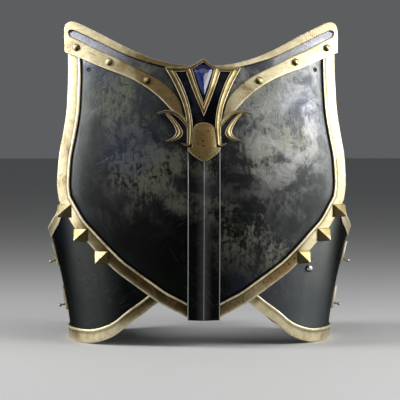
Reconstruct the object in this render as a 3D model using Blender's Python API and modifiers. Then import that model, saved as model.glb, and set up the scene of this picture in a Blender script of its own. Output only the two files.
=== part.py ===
"""A cuirass: a steel breastplate with brass collar, bands and crest, and two waist plates.

Shapes are laid out in front view (across, up) and wrapped onto one body form, a given lift off it.
Metres, +Z up, the wearer faces -Y, and the piece stands on the lower trims of its waist plates.
"""
from math import asin, atan2, cos, pi, radians, sin, tan

import bmesh
import bpy
from mathutils import Matrix, Vector

# Body form that every plate follows
WAIST_HALF = 0.168
SHOULDER_HALF = 0.219
FLARE_HEIGHT = 0.315
WAIST_DEPTH = 0.116
CHEST_DEPTH = 0.132
NECK_DEPTH = 0.092
CHEST_HEIGHT = 0.185
NECK_HEIGHT = 0.355
BACK_DEPTH = 0.100
SQUARENESS = 2.2

# Breastplate
PLATE_HALF = 0.175
PLATE_TOP = 0.391
PLATE_WALL = 0.0016
FLANGE_RECESS = 0.003
FLANGE_RAMP = 0.006
EDGE_TUCK = 0.0015
STRAP_HOLE_DIAMETER = 0.004

# Brass bands and collar
BAND_WIDTH = 0.0155
BAND_WALL = 0.0016
COLLAR_WALL = 0.0020

# Centre blade
BLADE_HALF = 0.0190
BLADE_EDGE = 0.0020
BLADE_RIDGE = 0.0042
BLADE_FOOT = 0.0345

# Studs and rivets
STUD_SIDE = 0.0155
STUD_TALL = 0.0095
STUD_SEAT_WALL = 0.0012
STUD_LEAN_OUT = 0.0025
STUD_LEAN_DOWN = 0.0050
STUD_INSET = 0.0005
RIVET_DIAMETER = 0.0090
RIVET_TALL = 0.0036

# Waist plates and their trims
SIDE_WALL = 0.0020
TRIM_WALL = 0.0018
LOWER_TRIM_WIDTH = 0.0165
UPPER_TRIM_WIDTH = 0.0130
SIDE_FOOT_GAP = 0.0010
FRONT_TURN = radians(13)
HIP_TURN = radians(52)
REAR_TURN = radians(165)

# Side mounts
MOUNT_TALL = 0.030
MOUNT_HALF = 0.0095
MOUNT_WALL = 0.0022
MOUNT_BALL = 0.0040
MOUNT_STAND = 0.0080
MOUNT_TURN = radians(84)

# Crest
CREST_HALF = 0.045
CREST_TALL = 0.120
CREST_ABOVE_NECK = 0.010
BACKING_WALL = 0.0010
BAR_EDGE = 0.0022
BAR_RIDGE = 0.0042
BOSS_EDGE = 0.0022
BOSS_DOME = 0.0070
GEM_GIRDLE = 0.0012
GEM_TALL = 0.0045
GEM_TABLE = 0.42
GEM_CENTRE = 0.835

# Clearances between pieces
SEAM = 0.0004
SLIDE = 0.0006

# Front-view curves. across is a share of PLATE_HALF, up a share of PLATE_TOP
V_EDGE = [(0.000, 0.068), (0.114, 0.095), (0.211, 0.118), (0.297, 0.138), (0.400, 0.170),
          (0.526, 0.210), (0.611, 0.239), (0.726, 0.289), (0.800, 0.324), (0.874, 0.359),
          (0.931, 0.399), (0.989, 0.445)]
ARM_EDGE = [(0.989, 0.445), (1.000, 0.486), (0.997, 0.524), (0.983, 0.588), (0.954, 0.652),
            (0.931, 0.716), (0.923, 0.778), (0.920, 0.844), (0.923, 0.903), (0.924, 0.950),
            (0.914, 0.985)]
NECK_EDGE = [(0.000, 0.846), (0.137, 0.849), (0.274, 0.861), (0.400, 0.880), (0.571, 0.918),
             (0.743, 0.959), (0.886, 0.990)]
COLLAR_LOWER = [(0.114, 0.670), (0.160, 0.696), (0.223, 0.723), (0.286, 0.753), (0.366, 0.783),
                (0.457, 0.808), (0.560, 0.829), (0.674, 0.848), (0.800, 0.873), (0.903, 0.893)]
SLOT_LOWER = [(0.154, 0.744), (0.189, 0.770), (0.251, 0.799), (0.326, 0.821), (0.411, 0.841),
              (0.514, 0.863), (0.617, 0.887), (0.726, 0.909), (0.829, 0.934), (0.903, 0.951)]
SLOT_UPPER = [(0.000, 0.843), (0.091, 0.845), (0.183, 0.849), (0.274, 0.855), (0.366, 0.867),
              (0.469, 0.882), (0.571, 0.902), (0.686, 0.928), (0.800, 0.954), (0.891, 0.972)]
COLLAR_UPPER = [(0.000, 0.852), (0.091, 0.854), (0.183, 0.858), (0.274, 0.867), (0.366, 0.880),
                (0.469, 0.900), (0.571, 0.923), (0.686, 0.951), (0.800, 0.978), (0.886, 0.996)]
COLLAR_END = [(0.934, 0.898), (0.940, 0.949), (0.938, 0.976), (0.917, 1.000)]
STRAP_HOLE = (0.774, 0.8455)
COLLAR_RIVETS = [0.43, 0.71, 0.935]
STUD_SHARES = [0.936, 0.768, 0.607]

# Waist plate edges. turn is degrees round the body from the front, up a share of the hip height
SIDE_LOWER = [(13, 0.345), (16, 0.307), (23, 0.224), (30, 0.149), (37, 0.068), (42, 0.012), (45, 0.0),
              (60, 0.0), (90, 0.0), (120, 0.0), (136, 0.0), (146, 0.055), (156, 0.185), (165, 0.320)]
SIDE_UPPER = [(52, 1.06), (58, 0.985), (65, 0.895), (76, 0.820), (90, 0.775), (110, 0.750),
              (138, 0.740), (165, 0.740)]
MOUNT_HEIGHTS = [("upper", 0.600), ("lower", 0.287)]
PLATE_RIVET_PLACE = (44.3, 0.526)

# Crest curves, right half. across is a share of CREST_HALF, up a share of CREST_TALL
RIM_OUTER = [(0.00, 1.000), (0.38, 0.921), (1.00, 0.917)]
RIM_INNER = [(0.00, 0.967), (0.39, 0.892), (0.91, 0.892)]
BAR_OUTER = [(1.00, 0.917), (0.745, 0.738), (0.522, 0.546), (0.433, 0.375), (0.422, 0.150)]
BAR_INNER = [(0.80, 0.895), (0.567, 0.742), (0.378, 0.558), (0.256, 0.350), (0.311, 0.165)]
ARM_OUTER = [(0.490, 0.910), (0.256, 0.667), (0.00, 0.433)]
ARM_INNER = [(0.300, 0.915), (0.156, 0.733), (0.00, 0.558)]
HORN_UPPER = [(0.400, 0.370), (0.555, 0.442), (0.755, 0.487), (0.978, 0.495), (1.222, 0.467)]
HORN_LOWER = [(0.420, 0.320), (0.600, 0.404), (0.778, 0.454), (0.978, 0.470), (1.200, 0.455)]
CRESCENT_BACK = [(0.955, 0.480), (0.733, 0.400), (0.589, 0.325), (0.545, 0.267), (0.667, 0.217),
                 (0.955, 0.192)]
CRESCENT_FRONT = [(0.980, 0.455), (0.833, 0.383), (0.745, 0.325), (0.722, 0.275), (0.811, 0.233),
                  (0.967, 0.204)]
TINE_UPPER = [(0.380, 0.178), (0.490, 0.172), (0.590, 0.183)]
TINE_LOWER = [(0.380, 0.155), (0.490, 0.153), (0.580, 0.170)]
BACKING_OUTLINE = [(0.00, 0.985), (0.38, 0.906), (0.95, 0.902), (0.69, 0.733), (0.475, 0.546),
                   (0.355, 0.360), (0.300, 0.200), (0.00, 0.200)]
BOSS_OUTLINE = [(0.00, 0.350), (0.133, 0.344), (0.222, 0.325), (0.245, 0.267), (0.275, 0.200),
                (0.285, 0.138), (0.433, 0.133), (0.378, 0.092), (0.200, 0.042), (0.00, 0.000)]
BOSS_SPINE = (0.10, 0.27)
BOSS_RINGS = [(0.80, 0.50), (0.72, 0.32), (0.50, 0.18)]
GEM_OUTLINE = [(0.045, 0.942), (0.235, 0.905), (0.235, 0.870), (0.022, 0.625)]

# Colours: base colour, roughness, metallic
STEEL = ((0.055, 0.060, 0.065), 0.38, 1.0)
DARK_STEEL = ((0.020, 0.021, 0.025), 0.50, 1.0)
BRASS = ((0.62, 0.50, 0.27), 0.35, 1.0)
COPPER_BRASS = ((0.36, 0.20, 0.09), 0.42, 1.0)
SILVER = ((0.65, 0.66, 0.68), 0.25, 1.0)
BLUE_GLASS = ((0.02, 0.05, 0.35), 0.08, 0.0)


def clear_scene():
    """Remove everything that a new scene starts with."""
    for item in list(bpy.data.objects):
        bpy.data.objects.remove(item)


# The body form

def half_width(up):
    """Half the body's width at a height."""
    flare = sin(pi / 2 * max(0.0, min(up / FLARE_HEIGHT, 1.0))) ** 1.5
    return WAIST_HALF + (SHOULDER_HALF - WAIST_HALF) * flare


def front_depth(up):
    """How far the body stands forward of its widest line at a height."""
    if up < CHEST_HEIGHT:
        return CHEST_DEPTH - (CHEST_DEPTH - WAIST_DEPTH) * ((CHEST_HEIGHT - up) / CHEST_HEIGHT) ** 2
    rise = (up - CHEST_HEIGHT) / (NECK_HEIGHT - CHEST_HEIGHT)
    return CHEST_DEPTH - (CHEST_DEPTH - NECK_DEPTH) * rise ** 2


def body_point(turn, up):
    """Point on the body: turn is 0 at the front and 90 degrees at the widest line."""
    power = 2 / SQUARENESS
    sideways = half_width(up) * abs(sin(turn)) ** power
    forward = abs(cos(turn)) ** power
    across = sideways if turn >= 0 else -sideways
    along = -front_depth(up) * forward if cos(turn) > 0 else BACK_DEPTH * forward
    return Vector((across, along, up))


def body_normal(turn, up):
    """Outward direction of the body at a point."""
    step = 0.002
    round_way = body_point(turn + step, up) - body_point(turn - step, up)
    rise = body_point(turn, up + step) - body_point(turn, up - step)
    return round_way.cross(rise).normalized()


def skin(turn, up, lift):
    """Point a given lift outside the body."""
    return body_point(turn, up) + body_normal(turn, up) * lift


def turn_at(across, up):
    """Turn round the body of a point in front view."""
    share = min(abs(across) / half_width(up), 1.0) ** (SQUARENESS / 2)
    return asin(share) if across >= 0 else -asin(share)


def front(across, up, lift):
    """Wrap a front-view point onto the body."""
    return skin(turn_at(across, up), up, lift)


# Curves

def smooth_point(rows, share):
    """Point at a share of the way along a smooth curve through the rows."""
    place = max(0.0, min(share, 1.0)) * (len(rows) - 1)
    index = min(int(place), len(rows) - 2)
    part = place - index
    here = Vector(rows[index])
    there = Vector(rows[index + 1])
    before = Vector(rows[index - 1]) if index > 0 else here * 2 - there
    after = Vector(rows[index + 2]) if index + 2 < len(rows) else there * 2 - here
    return 0.5 * (2 * here + (there - before) * part
                  + (2 * before - 5 * here + 4 * there - after) * part ** 2
                  + (3 * here - before - 3 * there + after) * part ** 3)


def plate_point(rows, share):
    """Front-view point, in metres, on one of the plate's curves."""
    place = smooth_point(rows, share)
    return Vector((place.x * PLATE_HALF, place.y * PLATE_TOP))


def plate_speed(rows, share):
    """How fast a plate curve runs, in metres for each whole share."""
    step = 0.01
    low = max(0.0, share - step)
    high = min(1.0, share + step)
    return (plate_point(rows, high) - plate_point(rows, low)) / (high - low)


def border_point(place, inset):
    """Point inset from the V (place 0 to 1) or the armhole edge (place 1 to 2), mitred at the hip."""
    v_end = plate_speed(V_EDGE, 1.0)
    arm_start = plate_speed(ARM_EDGE, 0.0)
    corner = atan2(arm_start.y, arm_start.x) - atan2(v_end.y, v_end.x)
    mitre = inset * tan(corner / 2)
    if place <= 1:
        start = plate_speed(V_EDGE, 0.0)
        first = inset * start.y / (start.length * start.x)
        last = 1 - mitre / v_end.length
        rows, share = V_EDGE, first + place * (last - first)
    else:
        first = mitre / arm_start.length
        rows, share = ARM_EDGE, first + (place - 1) * (1 - first)
    run = plate_speed(rows, share).normalized()
    return plate_point(rows, share) + Vector((-run.y, run.x)) * inset


def hip_height():
    """Height of the corner where the armhole meets the V."""
    return V_EDGE[-1][1] * PLATE_TOP


def side_edge(rows, turn):
    """Height of a waist plate's edge at a turn."""
    degrees = turn * 180 / pi
    for index in range(len(rows) - 1):
        start, end = rows[index][0], rows[index + 1][0]
        if degrees <= end or index == len(rows) - 2:
            part = max(0.0, min((degrees - start) / (end - start), 1.0))
            return smooth_point(rows, (index + part) / (len(rows) - 1)).y * hip_height()
    return 0.0


# Making objects

def material(name, finish):
    """A Principled material from its colour, roughness and metallic value."""
    colour, roughness, metallic = finish
    result = bpy.data.materials.get(name)
    if result is None:
        result = bpy.data.materials.new(name)
        result.use_nodes = True
        shader = result.node_tree.nodes["Principled BSDF"]
        shader.inputs["Base Color"].default_value = (*colour, 1)
        shader.inputs["Roughness"].default_value = roughness
        shader.inputs["Metallic"].default_value = metallic
        result.diffuse_color = (*colour, 1)
    return result


def add_object(name, bm, finish, collection="cuirass"):
    """Make an object from a bmesh, with its own material."""
    mesh = bpy.data.meshes.new(name)
    bm.to_mesh(mesh)
    bm.free()
    item = bpy.data.objects.new(name, mesh)
    bpy.data.collections[collection].objects.link(item)
    if finish is not None:
        mesh.materials.append(material(name, finish))
        item.parent = bpy.data.objects["cuirass_root"]
    mesh.shade_smooth()
    mesh.set_sharp_from_angle(angle=radians(30))
    return item


def sheet(columns, rows, place):
    """An open grid whose points are placed by place(column value, row value)."""
    bm = bmesh.new()
    bmesh.ops.create_grid(bm, x_segments=len(columns) - 1, y_segments=len(rows) - 1, size=0.5)
    for vert in bm.verts:
        column = columns[round((vert.co.x + 0.5) * (len(columns) - 1))]
        row = rows[round((vert.co.y + 0.5) * (len(rows) - 1))]
        vert.co = place(column, row)
    return bm


def flip_sideways(bm):
    """Mirror a finished right-hand shape to the left."""
    bmesh.ops.scale(bm, vec=(-1, 1, 1), verts=bm.verts)
    bmesh.ops.reverse_faces(bm, faces=bm.faces)


def thicken(item, wall, outwards):
    """Give an open sheet its wall."""
    solid = item.modifiers.new("wall", "SOLIDIFY")
    solid.thickness = wall
    solid.offset = 1 if outwards else -1
    solid.use_even_offset = True


def mirror_halves(item):
    """Mirror a half that is open at the middle plane."""
    mirror = item.modifiers.new("halves", "MIRROR")
    mirror.merge_threshold = 0.0001


def even(count):
    """Shares from 0 to 1 in even steps."""
    return [index / count for index in range(count + 1)]


def slice_evenly(bm, step):
    """Cut a flat shape along even lines so that it can bend over the body."""
    for axis in (0, 1):
        lines = [round(vert.co[axis] / step) for vert in bm.verts]
        for line in range(min(lines), max(lines) + 1):
            spot = Vector((0, 0, 0))
            spot[axis] = line * step
            normal = Vector((0, 0, 0))
            normal[axis] = 1
            everything = list(bm.verts) + list(bm.edges) + list(bm.faces)
            bmesh.ops.bisect_plane(bm, geom=everything, plane_co=spot, plane_no=normal, dist=1e-6)


def wrap_front(bm):
    """Bend a flat shape (across, up, lift) over the front of the body."""
    for vert in bm.verts:
        vert.co = front(vert.co.x, vert.co.y, vert.co.z)


def flat_slab(points, low, high):
    """A flat solid from an outline, standing from one lift to another."""
    bm = bmesh.new()
    corners = [bm.verts.new((point[0], point[1], low)) for point in points]
    base = bm.faces.new(corners)
    raised = bmesh.ops.extrude_face_region(bm, geom=[base])
    tops = [item for item in raised["geom"] if isinstance(item, bmesh.types.BMVert)]
    bmesh.ops.translate(bm, vec=(0, 0, high - low), verts=tops)
    bmesh.ops.recalc_face_normals(bm, faces=bm.faces)
    return bm


def frame_at(turn, up, lift):
    """Matrix at a point of the body: X round it, Y up it, Z out of it."""
    normal = body_normal(turn, up)
    step = 0.002
    round_way = (body_point(turn + step, up) - body_point(turn - step, up)).normalized()
    rise = normal.cross(round_way)
    matrix = Matrix((round_way, rise, normal)).transposed().to_4x4()
    matrix.translation = skin(turn, up, lift)
    return matrix


def turned(name, profile, steps, matrix, finish):
    """A turned piece from a profile that runs down its outer side, standing at a matrix."""
    bm = bmesh.new()
    points = [bm.verts.new((radius, 0, height)) for radius, height in profile]
    for start, end in zip(points, points[1:]):
        bm.edges.new((start, end))
    item = add_object(name, bm, finish)
    screw = item.modifiers.new("turn", "SCREW")
    screw.steps = steps
    screw.render_steps = steps
    screw.use_merge_vertices = True
    screw.merge_threshold = 0.00001
    screw.use_normal_calculate = True
    item.matrix_world = matrix
    return item


def dome_profile(radius, tall, count):
    """Profile of a low dome with a flat underside, from its top down."""
    arc = [(radius * sin(pi / 2 * index / count), tall * cos(pi / 2 * index / count))
           for index in range(count + 1)]
    return [(0.0, arc[0][1])] + arc[1:] + [(0.0, 0.0)]


# Lifts of the stacked layers

BAND_BASE = -FLANGE_RECESS + SEAM
COLLAR_BASE = SEAM
BACKING_BASE = COLLAR_BASE + COLLAR_WALL + SEAM
CREST_BASE = BACKING_BASE + BACKING_WALL + SEAM
BLADE_BASE = SEAM
BOSS_BASE = BLADE_BASE + BLADE_RIDGE + SEAM
SIDE_FACE = -(FLANGE_RECESS + PLATE_WALL + SLIDE + TRIM_WALL + SEAM)
TRIM_BASE = SIDE_FACE + SEAM


# Front plate and centre blade

def flange_lift(inset):
    """Lift of the breastplate's face at an inset from its border."""
    ramp_start = BAND_WIDTH + SEAM
    share = max(0.0, min((inset - ramp_start) / FLANGE_RAMP, 1.0))
    return -FLANGE_RECESS * (1 - share)


def panel_point(across_share, up_share, inset):
    """Front-view point of the raised panel, bounded by the border's inset lines and the neckline."""
    neck = plate_point(NECK_EDGE, across_share)
    neck_end = plate_point(NECK_EDGE, 1.0)
    arm_top = border_point(2.0, inset)
    v_line = border_point(across_share, inset)
    arm_line = border_point(1 + up_share, inset)
    v_start = border_point(0.0, inset)
    hip = border_point(1.0, inset)
    middle = v_start.lerp(plate_point(NECK_EDGE, 0.0), up_share)
    top = neck + (arm_top - neck_end) * across_share
    sides = middle.lerp(arm_line, across_share) + v_line.lerp(top, up_share)
    corners = v_start.lerp(hip, across_share).lerp(
        plate_point(NECK_EDGE, 0.0).lerp(arm_top, across_share), up_share)
    return sides - corners


def breast_point(column, row):
    """Point of the breastplate: columns and rows past the panel step out over the flange."""
    insets = [BAND_WIDTH + SEAM + FLANGE_RAMP, BAND_WIDTH + SEAM, BAND_WIDTH / 2, EDGE_TUCK]
    inset = insets[max(column - 1, -row, 0) if max(column - 1, -row) > 0 else 0]
    if column > 1 or row < 0:
        place = 1 + max(row, 0) if column > 1 and column - 1 >= -row else min(column, 1)
        spot = border_point(place, inset)
    else:
        spot = panel_point(column, row, inset)
    across = 0.0 if column == 0 else spot.x
    up = max(spot.y, BLADE_FOOT + EDGE_TUCK)
    return front(across, up, flange_lift(inset))


def make_breast_plate():
    """The steel front plate with its recessed flange and strap holes."""
    columns = even(12) + [2, 3, 4]
    rows = [-3, -2, -1] + even(13)
    bm = sheet(columns, rows, breast_point)
    item = add_object("breast_plate", bm, STEEL)
    mirror_halves(item)
    thicken(item, PLATE_WALL, outwards=False)
    for side in (-1, 1):
        across = side * STRAP_HOLE[0] * PLATE_HALF
        up = STRAP_HOLE[1] * PLATE_TOP
        cutter = bmesh.new()
        bmesh.ops.create_cone(cutter, cap_ends=True, segments=12, radius1=STRAP_HOLE_DIAMETER / 2,
                              radius2=STRAP_HOLE_DIAMETER / 2, depth=PLATE_WALL * 6)
        tool = add_object("strap_hole_cutter", cutter, None, "cutters")
        tool.parent = bpy.data.objects["cuirass_root"]
        tool.matrix_world = frame_at(turn_at(across, up), up, 0)
        tool.hide_render = True
        tool.display_type = "WIRE"
        cut = item.modifiers.new("strap hole", "BOOLEAN")
        cut.operation = "DIFFERENCE"
        cut.object = tool


def crest_foot():
    """Height of the boss's tip, the crest's lowest point."""
    return NECK_EDGE[0][1] * PLATE_TOP + CREST_ABOVE_NECK - CREST_TALL


def make_centre_blade():
    """The two-facet strip from under the boss down to the foot of the plate."""
    top = crest_foot() + BOSS_OUTLINE[6][1] * CREST_TALL
    bm = sheet([-1, 0, 1], even(14), lambda column, row: Vector((
        column * BLADE_HALF, BLADE_FOOT + row * (top - BLADE_FOOT),
        BLADE_BASE + (BLADE_RIDGE if column == 0 else BLADE_EDGE))))
    close_below(bm, BLADE_BASE)
    wrap_front(bm)
    add_object("centre_blade", bm, STEEL)


def close_below(bm, low):
    """Make a flat sheet a solid by drawing it down to one lift."""
    down = bmesh.ops.extrude_face_region(bm, geom=list(bm.faces))
    for item in down["geom"]:
        if isinstance(item, bmesh.types.BMVert):
            item.co.z = low
    bmesh.ops.recalc_face_normals(bm, faces=bm.faces)


# Brass collar and bands

def collar_point(column, row):
    """Point of the collar: rows are its four edges, and a column past 1 is the shoulder end."""
    edges = [COLLAR_LOWER, SLOT_LOWER, SLOT_UPPER, COLLAR_UPPER]
    if column > 1:
        spot = Vector((COLLAR_END[row][0] * PLATE_HALF, COLLAR_END[row][1] * PLATE_TOP))
    else:
        spot = plate_point(edges[row], column)
    across = 0.0 if column == 0 and row > 1 else spot.x
    return front(across, spot.y, COLLAR_BASE)


def make_neck_collar():
    """The collar with its two long slots, open behind the crest."""
    columns = even(17) + [2]
    bm = sheet(columns, [0, 1, 2, 3], collar_point)
    bm.faces.ensure_lookup_table()
    gaps = []
    shoulder = plate_point(SLOT_UPPER, 1.0).x
    for face in bm.faces:
        ranks = sorted(face.verts, key=lambda vert: vert.index)
        rows = {vert.index // len(columns) for vert in ranks}
        if rows == {1, 2} and min(vert.co.x for vert in ranks) < shoulder - 0.004:
            gaps.append(face)
    bmesh.ops.delete(bm, geom=gaps, context="FACES")
    item = add_object("neck_collar", bm, BRASS)
    mirror_halves(item)
    thicken(item, COLLAR_WALL, outwards=True)


def make_border_band(side_name, flip):
    """The band down one armhole and along its side of the V, up to the blade."""
    places = even(18) + [1 + share for share in even(15)[1:]]
    bm = sheet([BAND_WIDTH, BAND_WIDTH / 2, 0], places, lambda inset, place: Vector((
        *border_point(place, inset), BAND_BASE)))
    everything = list(bm.verts) + list(bm.edges) + list(bm.faces)
    bmesh.ops.bisect_plane(bm, geom=everything, plane_co=(BLADE_HALF + SEAM, 0, 0), plane_no=(1, 0, 0),
                           dist=1e-6, clear_inner=True)
    wrap_front(bm)
    if flip:
        flip_sideways(bm)
    item = add_object("border_band_" + side_name, bm, BRASS)
    thicken(item, BAND_WALL, outwards=True)


def make_pyramid_studs(side_name, side):
    """Three pyramid studs on the upper part of the V band, leaning out and down."""
    for number, share in enumerate(STUD_SHARES, 1):
        spot = border_point(share, STUD_INSET)
        bm = bmesh.new()
        bmesh.ops.create_cube(bm, size=1)
        half = STUD_SIDE / 2
        low = BAND_BASE + BAND_WALL + SEAM
        for vert in bm.verts:
            lift = low if vert.co.z < 0 else low + STUD_SEAT_WALL
            vert.co = Vector((spot.x + 2 * half * vert.co.x, spot.y + 2 * half * vert.co.y, lift))
        top = max(bm.faces, key=lambda face: face.calc_center_median().z)
        base = min(bm.faces, key=lambda face: face.calc_center_median().z)
        bmesh.ops.poke(bm, faces=[base])
        peak = bmesh.ops.poke(bm, faces=[top])["verts"][0]
        peak.co += Vector((STUD_LEAN_OUT, -STUD_LEAN_DOWN, STUD_TALL - STUD_SEAT_WALL))
        wrap_front(bm)
        if side < 0:
            flip_sideways(bm)
        add_object(f"pyramid_stud_{side_name}_{number}", bm, BRASS)


def make_collar_rivets(side_name, side):
    """Three dome rivets along the collar's lower strip."""
    for number, share in enumerate(COLLAR_RIVETS, 1):
        spot = (plate_point(COLLAR_LOWER, share) + plate_point(SLOT_LOWER, share)) / 2
        lift = COLLAR_BASE + COLLAR_WALL + SEAM
        matrix = frame_at(turn_at(side * spot.x, spot.y), spot.y, lift)
        profile = dome_profile(RIVET_DIAMETER / 2, RIVET_TALL, 4)
        turned(f"collar_rivet_{side_name}_{number}", profile, 12, matrix, BRASS)


# Waist plates

def side_point(round_share, up_share):
    """Turn and height of a point of the waist plate."""
    front_turn = FRONT_TURN + (HIP_TURN - FRONT_TURN) * up_share
    turn = front_turn + (REAR_TURN - front_turn) * round_share
    low = max(0.0, side_edge(SIDE_LOWER, FRONT_TURN + (REAR_TURN - FRONT_TURN) * round_share))
    high = side_edge(SIDE_UPPER, HIP_TURN + (REAR_TURN - HIP_TURN) * round_share)
    return turn, low + SIDE_FOOT_GAP + (high - low - SIDE_FOOT_GAP) * up_share


def make_side_plate(side_name, flip):
    """The steel waist plate that comes out from behind the breastplate."""
    shares = [share ** 1.15 for share in even(22)]
    bm = sheet(shares, even(7), lambda column, row: skin(*side_point(column, row), SIDE_FACE))
    if flip:
        flip_sideways(bm)
    item = add_object("side_plate_" + side_name, bm, STEEL)
    thicken(item, SIDE_WALL, outwards=False)


def lower_trim_point(turn, row):
    """Point of the lower trim, whose foot is cut level afterwards."""
    low = side_edge(SIDE_LOWER, turn)
    return skin(turn, low + row * LOWER_TRIM_WIDTH, TRIM_BASE)


def upper_trim_point(turn, row):
    """Point of the upper trim along the waist plate's top edge."""
    high = side_edge(SIDE_UPPER, turn)
    return skin(turn, high - (1 - row) * UPPER_TRIM_WIDTH, TRIM_BASE)


def make_lower_trim(side_name, flip):
    """The brass trim round the waist plate's foot, which the cuirass stands on."""
    turns = [FRONT_TURN + (REAR_TURN - FRONT_TURN) * share for share in even(26)]
    bm = sheet(turns, [-0.06, 0.5, 1], lower_trim_point)
    if flip:
        flip_sideways(bm)
    item = add_object("lower_trim_" + side_name, bm, BRASS)
    thicken(item, TRIM_WALL, outwards=True)
    cutter = bmesh.new()
    bmesh.ops.create_cube(cutter, size=1)
    depth = 0.02
    bmesh.ops.scale(cutter, vec=(4 * SHOULDER_HALF, 4 * SHOULDER_HALF, depth), verts=cutter.verts)
    bmesh.ops.translate(cutter, vec=(0, 0, -depth / 2), verts=cutter.verts)
    tool = add_object("floor_cutter_" + side_name, cutter, None, "cutters")
    tool.hide_render = True
    tool.display_type = "WIRE"
    cut = item.modifiers.new("level foot", "BOOLEAN")
    cut.operation = "DIFFERENCE"
    cut.object = tool


def make_upper_trim(side_name, flip):
    """The brass trim along the waist plate's top edge."""
    start = HIP_TURN
    turns = [start + (REAR_TURN - start) * share for share in even(18)]
    bm = sheet(turns, [0, 1], upper_trim_point)
    if flip:
        flip_sideways(bm)
    item = add_object("upper_trim_" + side_name, bm, BRASS)
    thicken(item, TRIM_WALL, outwards=True)


def make_plate_rivet():
    """The steel dome rivet on the wearer's left waist plate."""
    degrees, share = PLATE_RIVET_PLACE
    matrix = frame_at(radians(degrees), share * hip_height(), SIDE_FACE + SEAM)
    turned("plate_rivet", dome_profile(RIVET_DIAMETER / 2, RIVET_TALL * 1.2, 4), 12, matrix, SILVER)


def teardrop(tall, half, count):
    """Outline of a teardrop with its point up."""
    points = []
    for index in range(count):
        angle = 2 * pi * index / count
        swell = sin(angle / 2) ** 1.6
        points.append((half * 1.12 * swell * sin(angle), tall / 2 * cos(angle)))
    return points


def make_side_mounts(side_name, side):
    """Two pierced teardrop mounts on the flank, each with a ball stud."""
    for level, share in MOUNT_HEIGHTS:
        matrix = frame_at(side * MOUNT_TURN, share * hip_height(), TRIM_BASE)
        bm = flat_slab(teardrop(MOUNT_TALL, MOUNT_HALF, 20), 0, MOUNT_WALL)
        hole = flat_slab(teardrop(MOUNT_TALL * 0.55, MOUNT_HALF * 0.5, 12), -MOUNT_WALL, 2 * MOUNT_WALL)
        bmesh.ops.translate(hole, vec=(0, MOUNT_TALL * 0.12, 0), verts=hole.verts)
        item = add_object(f"side_mount_{side_name}_{level}", bm, BRASS)
        item.matrix_world = matrix
        tool = add_object(f"mount_cutter_{side_name}_{level}", hole, None, "cutters")
        tool.parent = bpy.data.objects["cuirass_root"]
        tool.matrix_world = matrix
        tool.hide_render = True
        tool.display_type = "WIRE"
        cut = item.modifiers.new("piercing", "BOOLEAN")
        cut.operation = "DIFFERENCE"
        cut.object = tool
        seat = matrix @ Matrix.Translation((0, -MOUNT_TALL * 0.27, MOUNT_WALL + SEAM))
        ball = MOUNT_BALL / 2
        profile = [(0.0, MOUNT_STAND), (ball * 0.7, MOUNT_STAND - ball * 0.3), (ball, MOUNT_STAND - ball),
                   (ball * 0.7, MOUNT_STAND - ball * 1.7), (ball * 0.5, MOUNT_STAND - ball * 2),
                   (ball * 0.5, 0.0), (0.0, 0.0)]
        turned(f"mount_stud_{side_name}_{level}", profile, 8, seat, BRASS)


# Crest

def crest_point(place):
    """Front-view point, in metres, of a place in the crest's own shares."""
    return Vector((place[0] * CREST_HALF, crest_foot() + place[1] * CREST_TALL))


def ridged_bar(one_edge, other_edge, count, ridge):
    """A roof-shaped bar between two curves, flat underneath."""
    def place(column, row):
        spot = crest_point(smooth_point(one_edge, row)).lerp(
            crest_point(smooth_point(other_edge, row)), column)
        lift = ridge if column == 0.5 else BAR_EDGE * ridge / BAR_RIDGE
        return Vector((spot.x, spot.y, CREST_BASE + lift))
    bm = sheet([0, 0.5, 1], even(count), place)
    close_below(bm, CREST_BASE)
    return add_object("crest_piece", bm, None, "cutters")


def fuse(pieces):
    """Union of several solids, as one mesh. The solids are removed."""
    first = pieces[0]
    for piece in pieces[1:]:
        joint = first.modifiers.new("join", "BOOLEAN")
        joint.operation = "UNION"
        joint.object = piece
    bpy.context.view_layer.update()
    graph = bpy.context.evaluated_depsgraph_get()
    mesh = bpy.data.meshes.new_from_object(first.evaluated_get(graph))
    for piece in pieces:
        bpy.data.objects.remove(piece)
    return mesh


def make_crest():
    """Rim, bars, arms, horns, crescents and tines, soldered into one."""
    pieces = [ridged_bar(RIM_OUTER, RIM_INNER, 6, BAR_RIDGE * 0.85),
              ridged_bar(BAR_OUTER, BAR_INNER, 8, BAR_RIDGE),
              ridged_bar(ARM_OUTER, ARM_INNER, 4, BAR_RIDGE * 0.95),
              ridged_bar(HORN_UPPER, HORN_LOWER, 7, BAR_RIDGE * 0.75),
              ridged_bar(CRESCENT_BACK, CRESCENT_FRONT, 8, BAR_RIDGE * 0.65),
              ridged_bar(TINE_UPPER, TINE_LOWER, 2, BAR_RIDGE * 0.55)]
    mesh = fuse(pieces)
    bm = bmesh.new()
    bm.from_mesh(mesh)
    slice_evenly(bm, 0.012)
    bmesh.ops.mirror(bm, geom=list(bm.verts) + list(bm.edges) + list(bm.faces), axis="X",
                     merge_dist=0.00005)
    seam_faces = [face for face in bm.faces if all(abs(vert.co.x) < 1e-5 for vert in face.verts)]
    bmesh.ops.delete(bm, geom=seam_faces, context="FACES_ONLY")
    bmesh.ops.remove_doubles(bm, verts=bm.verts, dist=0.00005)
    bmesh.ops.recalc_face_normals(bm, faces=bm.faces)
    wrap_front(bm)
    bpy.data.meshes.remove(mesh)
    add_object("crest", bm, BRASS)


def whole_outline(half_rows):
    """A closed outline, in metres, from its right half."""
    right = [crest_point(row) for row in half_rows]
    left = [Vector((-spot.x, spot.y)) for spot in reversed(right) if spot.x > 0]
    return right + left


def make_crest_backing():
    """The dark plate that shows between the crest's bars and behind the stone."""
    bm = flat_slab(whole_outline(BACKING_OUTLINE), BACKING_BASE, BACKING_BASE + BACKING_WALL)
    slice_evenly(bm, 0.012)
    wrap_front(bm)
    add_object("crest_backing", bm, DARK_STEEL)


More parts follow.
